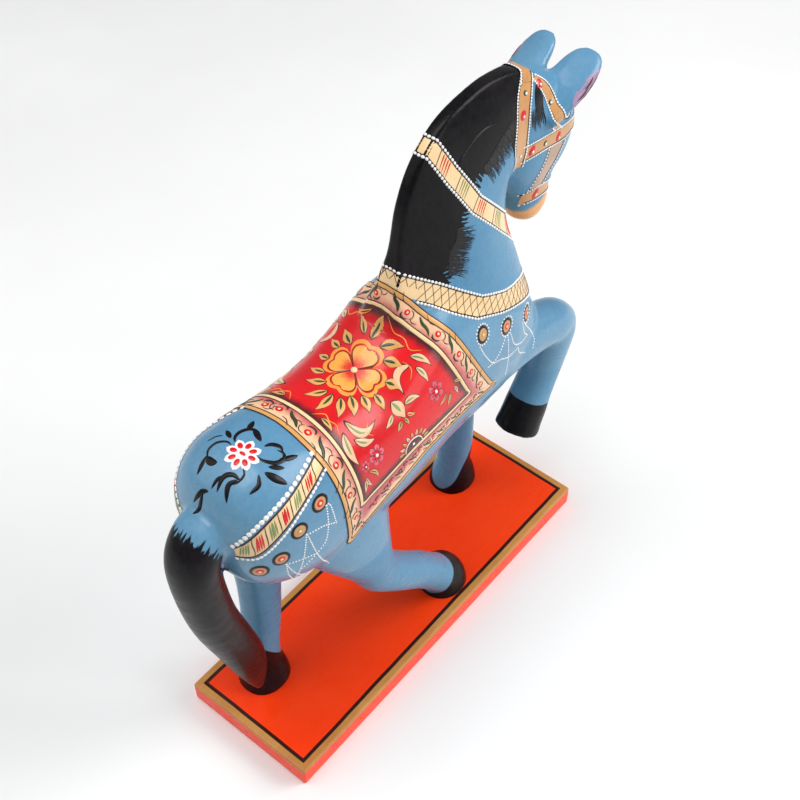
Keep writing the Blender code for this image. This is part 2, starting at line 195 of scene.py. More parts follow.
def head_rings():
    """Bowed head. Stations: jaw y and z, face y and z, half width, squareness."""
    stations = [
        (-70, 295, -96, 291.5, 6.5, 2.2),
        (-67, 287, -107, 283, 10.5, 2.4),
        (-66, 276, -117, 270, 13.0, 2.5),
        (-66, 263, -123.5, 256, 13.6, 2.6),
        (-70, 251, -119.5, 243, 13.0, 2.6),
        (-77, 240, -112.5, 234, 10.8, 2.5),
        (-82, 230, -109.5, 226, 9.4, 2.4),
        (-84, 221, -109.5, 217, 9.4, 2.3),
        (-87, 214, -106, 210, 7.6, 2.2),
        (-91, 210, -101, 207, 4.5, 2.0),
    ]
    rings = []
    for jy, jz, fy, fz, half, power in smooth_rows(stations, LOFT_STEPS):
        ring = []
        for u, v in superellipse(power):
            share = 0.5 + 0.5 * v
            ring.append((half * u, jy + (fy - jy) * share, jz + (fz - jz) * share))
        rings.append(ring)
    return rings


def limb_rings(stations, side_axis=(1, 0, 0)):
    """Sections square to a smooth path. Stations: x, y, z, half width, half depth."""
    outline = superellipse(2.2)
    rows = smooth_rows(stations, LOFT_STEPS)
    path = np.array([row[:3] for row in rows])
    tangents = np.gradient(path, axis=0)
    rings = []
    for row, tangent in zip(rows, tangents):
        tangent = tangent / np.linalg.norm(tangent)
        side = np.array(side_axis, float)
        side = side - tangent * side.dot(tangent)
        side = side / np.linalg.norm(side)
        depth = np.cross(tangent, side)
        rings.append([tuple(row[:3] + side * row[3] * u + depth * row[4] * v)
                      for u, v in outline])
    return rings


def hoof_stations(foot):
    """The flared end of a standing leg, down to just inside the board."""
    x, y = foot
    return [
        (x, y, SOLE + 17, 9.4, 9.8),
        (x, y, SOLE + 8, 11.4, 12.2),
        (x, y, SOLE, 12.8, 13.6),
        (x, y, SOLE - 4, 12.8, 13.6),
    ]


def build_limbs():
    """Legs from top to hoof. Stations: x, y, z, half width, half depth."""
    hind_left = [
        (17, 74, 172, 14, 22),
        (17, 76, 142, 14, 18),
        (16, 79.5, 116, 11.8, 13.5),
        (15, 81, 92, 10.0, 11.0),
        (15, 82.5, 66, 9.4, 10.0),
        (15, 85, 44, 9.0, 9.5),
    ] + hoof_stations(HIND_LEFT_FOOT)
    hind_right = [
        (-17, 64, 168, 14, 28),
        (-18.5, 56, 141, 14, 25),
        (-20, 49, 118, 13, 18),
        (-20.5, 43, 100, 11.6, 12.8),
        (-20.5, 36.5, 84, 10.3, 11.2),
        (-20.5, 19.5, 63, 9.9, 10.0),
        (-20, 3, 45, 9.8, 9.8),
        (-20, -10, 28, 10.2, 10.2),
        (-20, -17, SOLE + 7, 11.6, 12.0),
    ] + hoof_stations(HIND_RIGHT_FOOT)[-2:]
    front_left = [
        (17, -66, 160, 14, 20),
        (18, -71, 132, 13, 17),
        (19, -75, 108, 10.8, 12.5),
        (19.5, -78, 84, 9.8, 10.4),
        (19.5, -79, 60, 9.6, 10.0),
        (19.5, -79, 42, 9.6, 9.8),
    ] + hoof_stations(FRONT_LEFT_FOOT)
    forearm = [
        (-15, -58, 154, 13, 16),
        (-16.5, -75, 153, 12.5, 13.8),
        (-17.5, -90, 149.5, 11.8, 12.6),
        (-18, -104, 144, 11.4, 12.0),
        (-18, -113, 137, 9.5, 10.0),
    ]
    cannon = [
        (-18, -106, 148, 7.5, 7.5),
        (-18, -108, 139, 11, 12),
        (-17.8, -106, 126, 10.6, 11.2),
        (-17.5, -100, 110, 10.2, 10.2),
        (-17, -94.5, 98, 10.6, 10.6),
        (-17, -91, 91, 11.2, 11.2),
        (-17, -87, 84, 11.4, 11.6),
        (-17, -83.5, 78, 12.2, 12.4),
    ]
    legs = (hind_left, hind_right, front_left, forearm, cannon)
    return [loft("leg_form", limb_rings(stations)) for stations in legs]


def ear_form(side):
    """Leaf-shaped ear, its hollow facing outward. side is 1 for the horse's left."""
    stations = [
        (8.0, -90, 272, 9.0, 5.5),
        (9.5, -99, 277, 9.8, 5.0),
        (10.8, -108, 281.5, 9.8, 4.2),
        (11.6, -115.5, 285, 8.8, 3.4),
        (12.0, -121, 287.5, 6.8, 2.6),
        (12.0, -124, 289, 3.6, 1.6),
    ]
    rows = [(side * x, y, z, a, b) for x, y, z, a, b in stations]
    return loft("ear_form", limb_rings(rows, side_axis=(side, 0, -0.3)))


def tail_stations():
    """Curved tail in the middle plane, leaving the rump and ending in a point."""
    return [
        (0, 100, 180, 11.5, 10.5),
        (0, 112, 183.0, 11.5, 10.5),
        (0, 120.5, 182.0, 12, 10.5),
        (0, 126.5, 171, 12, 10.5),
        (0, 125.7, 150, 11, 11),
        (0, 121.3, 122, 9.8, 10.8),
        (0, 113.3, 94, 8.4, 10.3),
        (0.5, 106.5, 70, 6.6, 9.6),
        (1.5, 102.5, 50, 4.6, 6.9),
        (2, 100.5, 33, 1.8, 2.4),
    ]


def join_meshes(name, items):
    merged = bmesh.new()
    for item in items:
        merged.from_mesh(item.data)
        bpy.data.objects.remove(item, do_unlink=True)
    return new_object(name, mesh_data(name, merged))


def settle(item):
    """Replace the object's mesh with its evaluated mesh and drop the modifiers."""
    bpy.context.view_layer.update()
    graph = bpy.context.evaluated_depsgraph_get()
    data = bpy.data.meshes.new_from_object(item.evaluated_get(graph))
    item.modifiers.clear()
    old = item.data
    item.data = data
    bpy.data.meshes.remove(old)
    return item


# Each piece cut from the carving: name, seat, outward direction, across direction,
# and the cutter's width, height and reach. The order is the order of cutting.
CUTS = [
    ("ear_left", (13.2, -104, 279.5), (0.10, -0.88, 0.46), (1, 0, 0), (26, 14, 30)),
    ("ear_right", (-13.2, -104, 279.5), (-0.10, -0.88, 0.46), (1, 0, 0), (26, 14, 30)),
    ("head", (0, -66.5, 269), (0, -0.962, 0.275), (1, 0, 0), (60, 138, 80)),
    ("front_leg_right_lower", (-19, -94, 118), (0, 0, -1), (1, 0, 0), (33, 64, 60)),
    ("front_leg_right_upper", (-19, -91.5, 147), (-0.5, -0.866, 0), (1, 0, 0), (34, 60, 50)),
    ("front_leg_left", (19, -74, 120), (0, 0, -1), (1, 0, 0), (36, 60, 120)),
    ("hind_leg_left", (19, 80, 121), (0, 0, -1), (1, 0, 0), (34, 62, 120)),
    ("hind_leg_right", (-19, 28, 121), (0, 0, -1), (1, 0, 0), (34, 138, 120)),
    ("neck", (0, -42, 202), (0, -0.584, 0.811), (1, 0, 0), (90, 190, 150)),
]

TAIL_SEAT = (0, 119.5, 183)


# ---------------------------------------------------------------- carved skin


def weight_group(item, name, weight_of):
    """A vertex group whose weights come from each vertex's place in millimetres."""
    group = item.vertex_groups.new(name=name)
    for vert in item.data.vertices:
        weight = weight_of(vert.co / MM)
        if weight > 0:
            group.add([vert.index], weight, "REPLACE")
    return group.name


def softness(point):
    """Smoothing weight: little on the mane's crest and the ears, full elsewhere."""
    x, y, z = point
    crest = z > 236 and abs(x) < 6 and y > -92
    ear = y < -100 and z > 272 and abs(x) > 3
    return 0.12 if crest else 0.3 if ear else 1.0


def carve():
    """The whole horse as one smooth surface, blended from the lofted forms."""
    forms = [
        loft("trunk_form", trunk_rings()),
        loft("neck_form", neck_rings()),
        loft("head_form", head_rings()),
        loft("tail_form", limb_rings(tail_stations())),
        ear_form(1),
        ear_form(-1),
    ]
    skin = join_meshes("carving", forms + build_limbs())
    remesh = skin.modifiers.new("Blend", "REMESH")
    remesh.mode = "VOXEL"
    remesh.voxel_size = VOXEL * MM
    settle(skin)
    group = weight_group(skin, "soft", softness)
    everywhere = ""
    for where, steps in ((everywhere, 6), (group, 30)):
        smooth = skin.modifiers.new("Smooth", "SMOOTH")
        smooth.factor = 0.5
        smooth.iterations = steps
        smooth.vertex_group = where
    return settle(skin)


class Box:
    """A cutting box: its near face is centred on seat and it lies on the outward side."""

    def __init__(self, seat, outward, across, sizes):
        self.seat = Vector(seat)
        self.outward = Vector(outward).normalized()
        across = Vector(across)
        self.across = (across - self.outward * across.dot(self.outward)).normalized()
        self.up = self.outward.cross(self.across)
        self.sizes = sizes

    def holds(self, point, spare=0.0):
        offset = point - self.seat
        width, height, reach = self.sizes
        return (
            -spare <= offset.dot(self.outward) <= reach
            and abs(offset.dot(self.across)) <= width / 2
            and abs(offset.dot(self.up)) <= height / 2
        )


def split_skin(skin):
    """Cut the skin where the solids are cut and close each piece with a flat cap."""
    reach_back = 4.0  # a bisected face may straddle the cutter's near plane by this
    mesh = bmesh.new()
    mesh.from_mesh(skin.data)
    boxes = {"tail": Box(TAIL_SEAT, (0, 1, 0), (1, 0, 0), (60, 54, 40))}
    for name, seat, outward, across, sizes in CUTS:
        boxes[name] = Box(seat, outward, across, sizes)
    for box in boxes.values():
        faces = [f for f in mesh.faces if box.holds(f.calc_center_median() / MM, reach_back)]
        near = set(faces)
        for face in faces:
            near.update(face.edges)
            near.update(face.verts)
        bmesh.ops.bisect_plane(mesh, geom=list(near), dist=1e-7,
                               plane_co=box.seat * MM, plane_no=box.outward)
    names = {}
    for face in mesh.faces:
        centre = face.calc_center_median() / MM
        names[face] = next((n for n, box in boxes.items() if box.holds(centre)), "trunk")
    follow_tail(names)
    give_strays(names, "front_leg_right_upper")
    labels = {}
    for face, label in names.items():
        labels.setdefault(label, []).append(face.index)
    mesh.to_mesh(skin.data)
    mesh.free()
    return {name: capped_piece(skin, name, set(found)) for name, found in labels.items()}


def follow_tail(names):
    """Give the tail's lower half, which curls forward past its cut, to the tail too."""
    top, front, spare = TAIL_SEAT[2] - 20, 88, 1.5
    line = [(Vector(row[:3]), max(row[3:])) for row in tail_stations()[3:]]
    for face, name in names.items():
        centre = face.calc_center_median() / MM
        if name != "tail" and centre.z < top and centre.y > front:
            for (one, size), (other, _) in zip(line, line[1:]):
                along = other - one
                share = min(1.0, max(0.0, (centre - one).dot(along) / along.length_squared))
                if (centre - one - along * share).length < size + spare:
                    names[face] = "tail"


def give_strays(names, home):
    """Patches by the raised leg that no cutter took, and that don't reach the trunk, go
    to the piece called home."""
    beside, ahead, below = -2, -80, 128
    waiting = set()
    for face, name in names.items():
        x, y, z = face.calc_center_median() / MM
        if name == "trunk" and x < beside and y < ahead and z < below:
            waiting.add(face)
    while waiting:
        stack = [waiting.pop()]
        patch, reaches = set(stack), False
        while stack:
            for edge in stack.pop().edges:
                for other in edge.link_faces:
                    if other in waiting:
                        waiting.remove(other)
                        patch.add(other)
                        stack.append(other)
                    elif other not in patch and names[other] == "trunk":
                        reaches = True
        if not reaches:
            names.update((face, home) for face in patch)


def capped_piece(skin, name, indices):
    """The piece of the skin with these faces, closed; it stands for the CAD node name."""
    mesh = bmesh.new()
    mesh.from_mesh(skin.data)
    mesh.faces.ensure_lookup_table()
    others = [f for f in mesh.faces if f.index not in indices]
    bmesh.ops.delete(mesh, geom=others, context="FACES")
    drop_crumbs(mesh)
    for face in mesh.faces:
        face.smooth = True
    rims = [e for e in mesh.edges if e.is_boundary]
    caps = bmesh.ops.holes_fill(mesh, edges=rims, sides=0)["faces"]
    for face in caps:
        face.smooth = False
    bmesh.ops.triangulate(mesh, faces=caps)
    data = mesh_data(name, mesh)
    piece = new_object(name + "_skin", data)
    data.set_sharp_from_angle(angle=math.radians(60))
    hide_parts(name)
    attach(piece, "root")
    return piece


def drop_crumbs(mesh):
    """Keep only the largest connected island."""
    left = set(mesh.verts)
    islands = []
    while left:
        stack = [left.pop()]
        island = list(stack)
        while stack:
            for edge in stack.pop().link_edges:
                for vert in edge.verts:
                    if vert in left:
                        left.remove(vert)
                        island.append(vert)
                        stack.append(vert)
        islands.append(island)
    islands.sort(key=len)
    for island in islands[:-1]:
        bmesh.ops.delete(mesh, geom=island, context="VERTS")


# ---------------------------------------------------------------- where paint goes


PATCH_REACH = 26  # how far above a patch its rays start
RING_REACH = 90  # how far out from a ring's centre its rays start
NOTHING_BEYOND = 0.12  # a patch ends where the skin turns away from it by this cosine


class Skin:
    """Finds the painted surface along a line, on the side seen from the line's start."""

    def __init__(self, item):
        self.tree = BVHTree.FromPolygons(
            [tuple(v.co) for v in item.data.vertices],
            [tuple(p.vertices) for p in item.data.polygons],
        )

    def hit(self, start, direction):
        place, normal, _, _ = self.tree.ray_cast(Vector(start) * MM, Vector(direction))
        if place is None:
            return None
        return place / MM, normal

    def near(self, point):
        place, normal, _, _ = self.tree.find_nearest(Vector(point) * MM)
        return place / MM, normal


def as_is(chart):
    """The chart on the horse's right side."""
    return chart


def mirrored(chart):
    """The same chart on the horse's other side."""
    return lambda u, v: chart(u, v, -1)


SIDES = (as_is, mirrored)


def local_chart(skin, chart, place, heading):
    """A small true-to-size chart: a runs along heading from place and b to its left."""
    probe, lift, facing = 0.6, 7, 0.2
    step = np.array(heading, float) / np.linalg.norm(heading)
    here, ahead = chart(*place), chart(*(np.array(place) + step * probe))
    if here is None or ahead is None:
        return None
    centre, normal = here
    along = ahead[0] - centre
    along = (along - normal * along.dot(normal)).normalized()
    left = normal.cross(along)

    def small(a, b):
        start = centre + along * a + left * b + normal * lift
        found = skin.hit(start, -normal)
        return found if found and found[1].dot(normal) > facing else None

    return small


def patch_chart(skin, seat, facing, up):
    """Flat chart on the skin around seat. facing points out of the horse; v runs along
    up and u to the viewer's right, both in millimetres."""
    seat, facing, up = Vector(seat), Vector(facing).normalized(), Vector(up)
    up = (up - facing * up.dot(facing)).normalized()
    right = up.cross(facing)

    def chart(u, v, side=1):
        start = seat + right * u + up * v + facing * PATCH_REACH
        flip = Vector((side, 1, 1))
        found = skin.hit(start * flip, -facing * flip)
        if found is None or found[1].dot(facing * flip) < NOTHING_BEYOND:
            return None
        return found

    def locate(*points):
        return [((Vector(p) - seat).dot(right), (Vector(p) - seat).dot(up)) for p in points]

    chart.locate = locate
    return chart


def ring_chart(skin, centre, normal, top):
    """Chart on the ring where a plane meets the skin: u runs from the top of the ring
    towards the horse's right in millimetres, v along the plane's normal."""
    centre, normal, top = Vector(centre), Vector(normal).normalized(), Vector(top)
    top = (top - normal * top.dot(normal)).normalized()
    out = Vector((-1, 0, 0))
    out = (out - normal * out.dot(normal)).normalized()

    def spoke(angle, side=1):
        ray = top * math.cos(angle) + out * math.sin(angle)
        return ray * Vector((side, 1, 1))

    half_turn, past = 180, 6  # degrees; a band overlaps its mirror image a little
    lengths, angles, last = [], [], None
    for k in range(half_turn + past + 1):
        angle = math.radians(k)
        ray = spoke(angle)
        found = skin.hit(centre + ray * RING_REACH, -ray)
        if found is None:
            break
        step = (found[0] - last).length if last is not None else 0.0
        lengths.append((lengths[-1] if lengths else 0.0) + step)
        angles.append(angle)
        last = found[0]

    def chart(u, v, side=1):
        angle = float(np.interp(abs(u), lengths, angles))
        ray = spoke(angle, side if u >= 0 else -side)
        foot = centre + normal * v
        return skin.hit(foot + ray * RING_REACH, -ray)

    def locate(*points):
        found = []
        for point in points:
            offset = Vector(point) - centre
            angle = math.atan2(offset.dot(out), offset.dot(top))
            found.append((float(np.interp(angle, angles, lengths)), offset.dot(normal)))
        return found

    chart.locate = locate
    chart.length = lengths[min(half_turn, len(lengths) - 1)]
    return chart


# ---------------------------------------------------------------- thin raised paint


def curve_points(points, spacing):
    """Points about spacing apart on a Catmull-Rom curve through the given points."""
    points = np.array(points, float)
    steps_per_span = 8
    rows = points if len(points) == 2 else np.array(smooth_rows(points, steps_per_span))
    steps = np.linalg.norm(np.diff(rows, axis=0), axis=1)
    along = np.concatenate([[0], np.cumsum(steps)])
    count = max(3, int(along[-1] / spacing) + 2)
    marks = np.linspace(0, along[-1], count)
    return np.stack([np.interp(marks, along, rows[:, i]) for i in range(2)], axis=1)


def oval(u, v, radius, sides, stretch=1.0, turn=0.0):
    """Points round an oval that is stretched along its own u and turned."""
    c, s = math.cos(turn), math.sin(turn)
    points = []
    for i in range(sides):
        a = 2 * math.pi * i / sides
        x, y = radius * stretch * math.cos(a), radius * math.sin(a)
        points.append((u + x * c - y * s, v + x * s + y * c))
    return points


# Outlines of a stroke: its width at each share t of its length.


def even(_):
    return 1.0


def tapered(t):
    return math.sin(math.pi * min(max(t, 0.0), 1.0)) ** 0.6 + 0.02


def leaf(t):
    """Pointed at both ends and widest a third of the way along."""
    return max(0.02, math.sin(math.pi * t ** 0.75) ** 0.9)


def petal(t):
    """Narrow at the root, full and blunt at the tip."""
    return max(0.03, math.sin(math.pi * min(1.0, 0.08 + 0.92 * t) ** 1.35) ** 0.55)


def stroke_end(t):
    """A brush stroke that starts round and trails off."""
    return max(0.03, (1 - t) ** 0.6 * min(1.0, 0.35 + 6 * t))


# A ribbon's section: place across it from -1 to 1, and share of its rise; None is a sunk rim.
RIBBON_SECTION = ((-1, None), (-0.6, 0.8), (0, 1), (0.6, 0.8), (1, None))
RIM_SINK = 0.1  # how far a painted area's rim dips into the skin


class Relief:
    """Thin raised paint of one colour, gathered into one mesh."""

    def __init__(self, name, lift):
        self.name = name
        self.lift = lift
        self.verts = []
        self.normals = []
        self.washes = []
        self.faces = []

    def point(self, chart, u, v, height, wash=0.0):
        return self.add(chart(u, v), height, wash)

    def add(self, found, height, wash=0.0):
        if found is None:
            return None
        place, normal = found
        self.verts.append((place + normal * (self.lift + height)) * MM)
        self.normals.append(normal)
        self.washes.append(wash)
        return len(self.verts) - 1

    def faces_outward(self):
        """The faces, each turned so that it looks out of the horse."""
        turned = []
        for face in self.faces:
            a, b, c = (self.verts[i] for i in face[:3])
            d = self.verts[face[-1]]
            across = (c - a).cross(d - b) if len(face) == 4 else (b - a).cross(c - a)
            outward = self.normals[face[0]] + self.normals[face[2]]
            turned.append(face if across.dot(outward) > 0 else face[::-1])
        return turned

    def grid(self, rows):
        """Faces between rows of point numbers, left out where a point is missing."""
        for low, high in zip(rows, rows[1:]):
            for i in range(len(low) - 1):
                face = (low[i], low[i + 1], high[i + 1], high[i])
                if None not in face:
                    self.faces.append(face)

    def ribbon(self, chart, points, width, shape=even, rise=0.12, spacing=0.8, sink=RIM_SINK):
        """A painted line through points, width wide, with its profile from shape."""
        above, jump, no_length = 2, 3, 1e-6
        path = curve_points(points, spacing)
        spots = [chart(u, v) for u, v in path]
        last = len(path) - 1
        rows = []
        for i, spot in enumerate(spots):
            before, after = spots[max(i - 1, 0)], spots[min(i + 1, last)]
            if None in (spot, before, after) or (after[0] - before[0]).length < no_length:
                rows.append([None] * len(RIBBON_SECTION))
                continue
            place, normal = spot
            across = normal.cross(after[0] - before[0]).normalized()
            half = 0.5 * width * shape(i / last)
            row = []
            for k, share in RIBBON_SECTION:
                found = SKIN.hit(place + across * half * k + normal * above, -normal)
                if found and (found[0] - place).length > jump + half:
                    found = None
                row.append(self.add(found, -sink if share is None else share * rise))
            rows.append(row)
        self.grid(rows)

    def field(self, chart, edges_low, edges_high, across):
        """A filled area between two lists of matching chart points."""
        rows = []
        count = len(edges_low)
        for i, (low, high) in enumerate(zip(edges_low, edges_high)):
            row = []
            for k in range(across + 1):
                t = k / across
                u = low[0] + (high[0] - low[0]) * t
                v = low[1] + (high[1] - low[1]) * t
                rim = i in (0, count - 1) or k in (0, across)
                row.append(self.point(chart, u, v, -RIM_SINK if rim else 0.0))
            rows.append(row)
        self.grid(rows)

    def dot(self, chart, u, v, radius, rise=0.25, stretch=1.0, turn=0.0, sides=9):
        """A round or oval drop of paint."""
        foot, shoulder = (1.0, -0.08), (0.72, 0.7 * rise)  # share of the radius, height
        outer, inner = (
            [self.point(chart, *place, height)
             for place in oval(u, v, radius * share, sides, stretch, turn)]
            for share, height in (foot, shoulder)
        )
        tip = self.point(chart, u, v, rise)
        if None in outer + inner + [tip]:
            return
        for i in range(sides):
            j = (i + 1) % sides
            self.faces.append((outer[i], outer[j], inner[j], inner[i]))
            self.faces.append((inner[i], inner[j], tip))

    def beads(self, chart, points, spacing, radius, rise=0.3, stretch=1.0):
        """A row of dots along a line."""
        path = curve_points(points, spacing)
        for place, tangent in zip(path, np.gradient(path, axis=0)):
            spot = local_chart(SKIN, chart, place, tangent)
            if spot:
                self.dot(spot, 0, 0, radius, rise, stretch)

    def ring(self, chart, u, v, radius, width, stretch=1.0, turn=0.0):
        """A painted line round an oval."""
        points = oval(u, v, radius, 16, stretch, turn)
        self.ribbon(chart, points + points[:1], width, spacing=0.5)

    def build(self, material, slot):
        """Make the piece, with its wash values where it has any."""
        data = bpy.data.meshes.new(self.name)
        faces = self.faces_outward()
        used = sorted({i for face in faces for i in face})
        renamed = {old: new for new, old in enumerate(used)}
        faces = [tuple(renamed[i] for i in face) for face in faces]
        data.from_pydata([self.verts[i] for i in used], [], faces)
        data.shade_smooth()
        if any(self.washes):
            layer = data.attributes.new("wash", "FLOAT", "POINT")
            layer.data.foreach_set("value", [self.washes[i] for i in used])
        piece = new_object(self.name, data)
        data.materials.append(material)
        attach(piece, "root")


# ---------------------------------------------------------------- materials


def linear(hex_colour):
    """Linear RGBA of a six-digit sRGB colour."""
    parts = [int(hex_colour[i:i + 2], 16) / 255 for i in (0, 2, 4)]
    light = [c / 12.92 if c <= 0.04045 else ((c + 0.055) / 1.055) ** 2.4 for c in parts]
    return (*light, 1.0)


class Shader:
    """A Principled material with short calls for the nodes used here."""

    def __init__(self, name):
        self.material = bpy.data.materials.new(name)
        self.material.use_nodes = True
        self.tree = self.material.node_tree
        self.out = self.tree.nodes["Principled BSDF"]
        self.place = self.tree.nodes.new("ShaderNodeTexCoord").outputs["Object"]

    def node(self, kind, **values):
        node = self.tree.nodes.new(kind)
        for key, value in values.items():
            setattr(node, key, value)
        return node

    def feed(self, socket, value):
        if isinstance(value, bpy.types.NodeSocket):
            self.tree.links.new(value, socket)
        else:
            socket.default_value = value

    def maths(self, operation, first, second=0.0, third=0.0, clamp=False):
        node = self.node("ShaderNodeMath", operation=operation, use_clamp=clamp)
        for socket, value in zip(node.inputs, (first, second, third)):
            self.feed(socket, value)
        return node.outputs[0]

    def noise(self, scale, stretch=(1, 1, 1), detail=3.0, turn=(0, 0, 0)):
        mapping = self.node("ShaderNodeMapping", vector_type="TEXTURE")
        mapping.inputs["Scale"].default_value = [1 / s for s in stretch]
        mapping.inputs["Rotation"].default_value = turn
        self.feed(mapping.inputs["Vector"], self.place)
        node = self.node("ShaderNodeTexNoise")
        node.inputs["Scale"].default_value = scale
        node.inputs["Detail"].default_value = detail
        self.feed(node.inputs["Vector"], mapping.outputs[0])
        return node.outputs["Fac"]

    def spread(self, value, low, high, new_low=0.0, new_high=1.0):
        """The value eased from new_low at low to new_high at high."""
        node = self.node("ShaderNodeMapRange")
        node.interpolation_type = "SMOOTHSTEP"
        numbers = {"From Min": low, "From Max": high, "To Min": new_low, "To Max": new_high}
        for key, number in numbers.items():
            node.inputs[key].default_value = number
        self.feed(node.inputs["Value"], value)
        return node.outputs[0]

    def mix(self, share, first, second):
        node = self.node("ShaderNodeMix", data_type="RGBA")
        factor, colour_a, colour_b, result = 0, 6, 7, 2  # the node's colour sockets
        for socket, value in ((factor, share), (colour_a, first), (colour_b, second)):
            self.feed(node.inputs[socket], value)
        return node.outputs[result]

    def beyond(self, centre, normal, soft, ragged=0.0, scale=300.0, stretch=(1, 1, 1),
               turn=(0, 0, 0)):
        """1 beyond the plane through centre, 0 before it, with an edge soft mm wide and
        ragged by that many millimetres of noise."""
        normal = Vector(normal).normalized()
        node = self.node("ShaderNodeVectorMath", operation="DOT_PRODUCT")
        self.feed(node.inputs[0], self.place)
        node.inputs[1].default_value = normal
        distance = self.maths("SUBTRACT", node.outputs["Value"], Vector(centre).dot(normal) * MM)
        if ragged:
            wobble = self.maths("SUBTRACT", self.noise(scale, stretch, 2.0, turn), 0.5)
            distance = self.maths("MULTIPLY_ADD", wobble, 2.0 * ragged * MM, distance)
        return self.spread(distance, -0.5 * soft * MM, 0.5 * soft * MM)

    def lacquer(self, colour, low=0.24, high=0.38, coat=0.25, bump=0.12, specular=0.3):
        """Gloss varnish over brushed paint of this colour."""
        self.feed(self.out.inputs["Base Color"], colour)
        wear = self.noise(95.0, (1, 1, 2.5), 4.0)
        self.feed(self.out.inputs["Roughness"], self.spread(wear, 0.3, 0.7, low, high))
        self.out.inputs["Coat Weight"].default_value = coat
        self.out.inputs["Coat Roughness"].default_value = 0.12
        self.out.inputs["Specular IOR Level"].default_value = specular
        height = self.node("ShaderNodeBump")
        height.inputs["Strength"].default_value = bump
        height.inputs["Distance"].default_value = 0.0004
        self.feed(height.inputs["Height"], self.noise(420.0, (1, 1, 0.25), 5.0))
        self.feed(self.out.inputs["Normal"], height.outputs[0])
        return self.material

    def brushed(self, pale, dark, scale=60.0, stretch=(1, 1, 0.4)):
        """Two close shades of one paint, laid on with a brush."""
        broad = self.spread(self.noise(scale * 0.35, (1, 1, 1), 2.0), 0.35, 0.65)
        fine = self.spread(self.noise(scale * 9, stretch, 4.0), 0.3, 0.75)
        fine = self.maths("MULTIPLY", fine, 0.35)
        share = self.maths("MULTIPLY_ADD", broad, 0.6, fine, clamp=True)
        return self.mix(share, linear(pale), linear(dark))


BLUE_PALE, BLUE_DARK = "6695b3", "5085a9"
BLACK_PALE, BLACK_DARK = "1e1b1e", "060506"


def enamel(name, pale, dark, scale=90.0, **gloss):
    """Plain enamel in two close shades."""
    shader = Shader(name)
    return shader.lacquer(shader.brushed(pale, dark, scale), **gloss)


def washed_paint(name, body, wash, start, end, grain=260.0):
    """Enamel of the body shades with the wash shades laid thinly over it where the mesh's
    wash value goes from start to end, broken up by noise of the scale grain."""
    shader = Shader(name)
    share = shader.node("ShaderNodeAttribute", attribute_name="wash").outputs["Fac"]
    grain = shader.noise(grain, (1, 1, 1), 3.0)
    share = shader.maths("MULTIPLY_ADD", shader.maths("SUBTRACT", grain, 0.5), 0.34, share)
    share = shader.spread(share, start, end)
    return shader.lacquer(shader.mix(share, shader.brushed(*body), shader.brushed(*wash)))


def horse_paint(name, black_masks=(), extra=()):
    """Blue lacquer, black where the masks say, and an extra tint where extra says."""
    shader = Shader(name)
    colour = shader.brushed(BLUE_PALE, BLUE_DARK)
    black = shader.brushed(BLACK_PALE, BLACK_DARK)
    for mask in black_masks:
        colour = shader.mix(shader.beyond(**mask), colour, black)
    for mask, pale, dark in extra:
        colour = shader.mix(shader.beyond(**mask), colour, shader.brushed(pale, dark))
    gloss = {"coat": 0.06, "specular": 0.1} if black_masks else {}
    return shader.lacquer(colour, **gloss)


def board_paint():
    """Orange-red board with a gold border and a dark line inside it."""
    line_inset, gold_inset, edge_height, soft = 0.0055, 0.0036, 0.0109, 0.0004
    shader = Shader("board_paint")
    red = shader.brushed("ff4410", "fb3805", scale=40.0, stretch=(1, 0.3, 1))
    gold = shader.brushed("cc9350", "b9783c", scale=70.0, stretch=(1, 0.2, 1))
    dark = linear("32150f")
    parts = shader.node("ShaderNodeSeparateXYZ")
    shader.feed(parts.inputs[0], shader.place)
    wobble = shader.maths("MULTIPLY", shader.maths("SUBTRACT", shader.noise(30.0), 0.5), 0.0012)
    insets = []
    for axis, size in ((0, BOARD_WIDTH), (1, BOARD_LENGTH)):
        side = shader.maths("ABSOLUTE", parts.outputs[axis])
        insets.append(shader.maths("SUBTRACT", size / 2 * MM, side))
    inset = shader.maths("ADD", shader.maths("MINIMUM", *insets), wobble)
    height = shader.maths("ADD", parts.outputs[2], wobble)
    colour = shader.mix(shader.spread(inset, line_inset, line_inset + soft), dark, red)
    colour = shader.mix(shader.spread(inset, gold_inset, gold_inset + soft), gold, colour)
    colour = shader.mix(shader.spread(height, edge_height, edge_height + soft), red, colour)
    return shader.lacquer(colour, low=0.26, high=0.4, coat=0.1, bump=0.08, specular=0.2)


def streaked(name, pale, dark, noise, metallic=0.0, **gloss):
    """Bare wood or metal with streaks between two shades."""
    shader = Shader(name)
    shader.out.inputs["Metallic"].default_value = metallic
    share = shader.spread(shader.noise(*noise), 0.3, 0.7)
    return shader.lacquer(shader.mix(share, linear(pale), linear(dark)), coat=0.0, **gloss)


# ---------------------------------------------------------------- the skin and its paint

carving = carve()
SKIN = Skin(carving)
PIECES = split_skin(carving)
bpy.data.objects.remove(carving, do_unlink=True)

UPPER_HAIR = (0, -0.50, -0.87)
LOWER_HAIR = (0, -0.90, -0.43)


def hair_edge(centre, normal, heading):
    """Edge of the mane: brushed hairs that run along heading."""
    return {"centre": centre, "normal": normal, "soft": 0.8, "ragged": 9.0, "scale": 900.0,
            "stretch": (1, 0.07, 1), "turn": (math.atan2(heading[2], heading[1]), 0, 0)}


def hoof_mask(centre, normal):
    return {"centre": centre, "normal": normal, "soft": 0.5, "ragged": 0.35, "scale": 120.0}


MUZZLE = {"centre": (0, -95, 221.5), "normal": (0, -0.2, -1), "soft": 3.0, "ragged": 1.0}
HOOF_SOLE = {"centre": (-17, -83.2, 79.6), "normal": (0, 0.42, -0.91), "soft": 0.6}
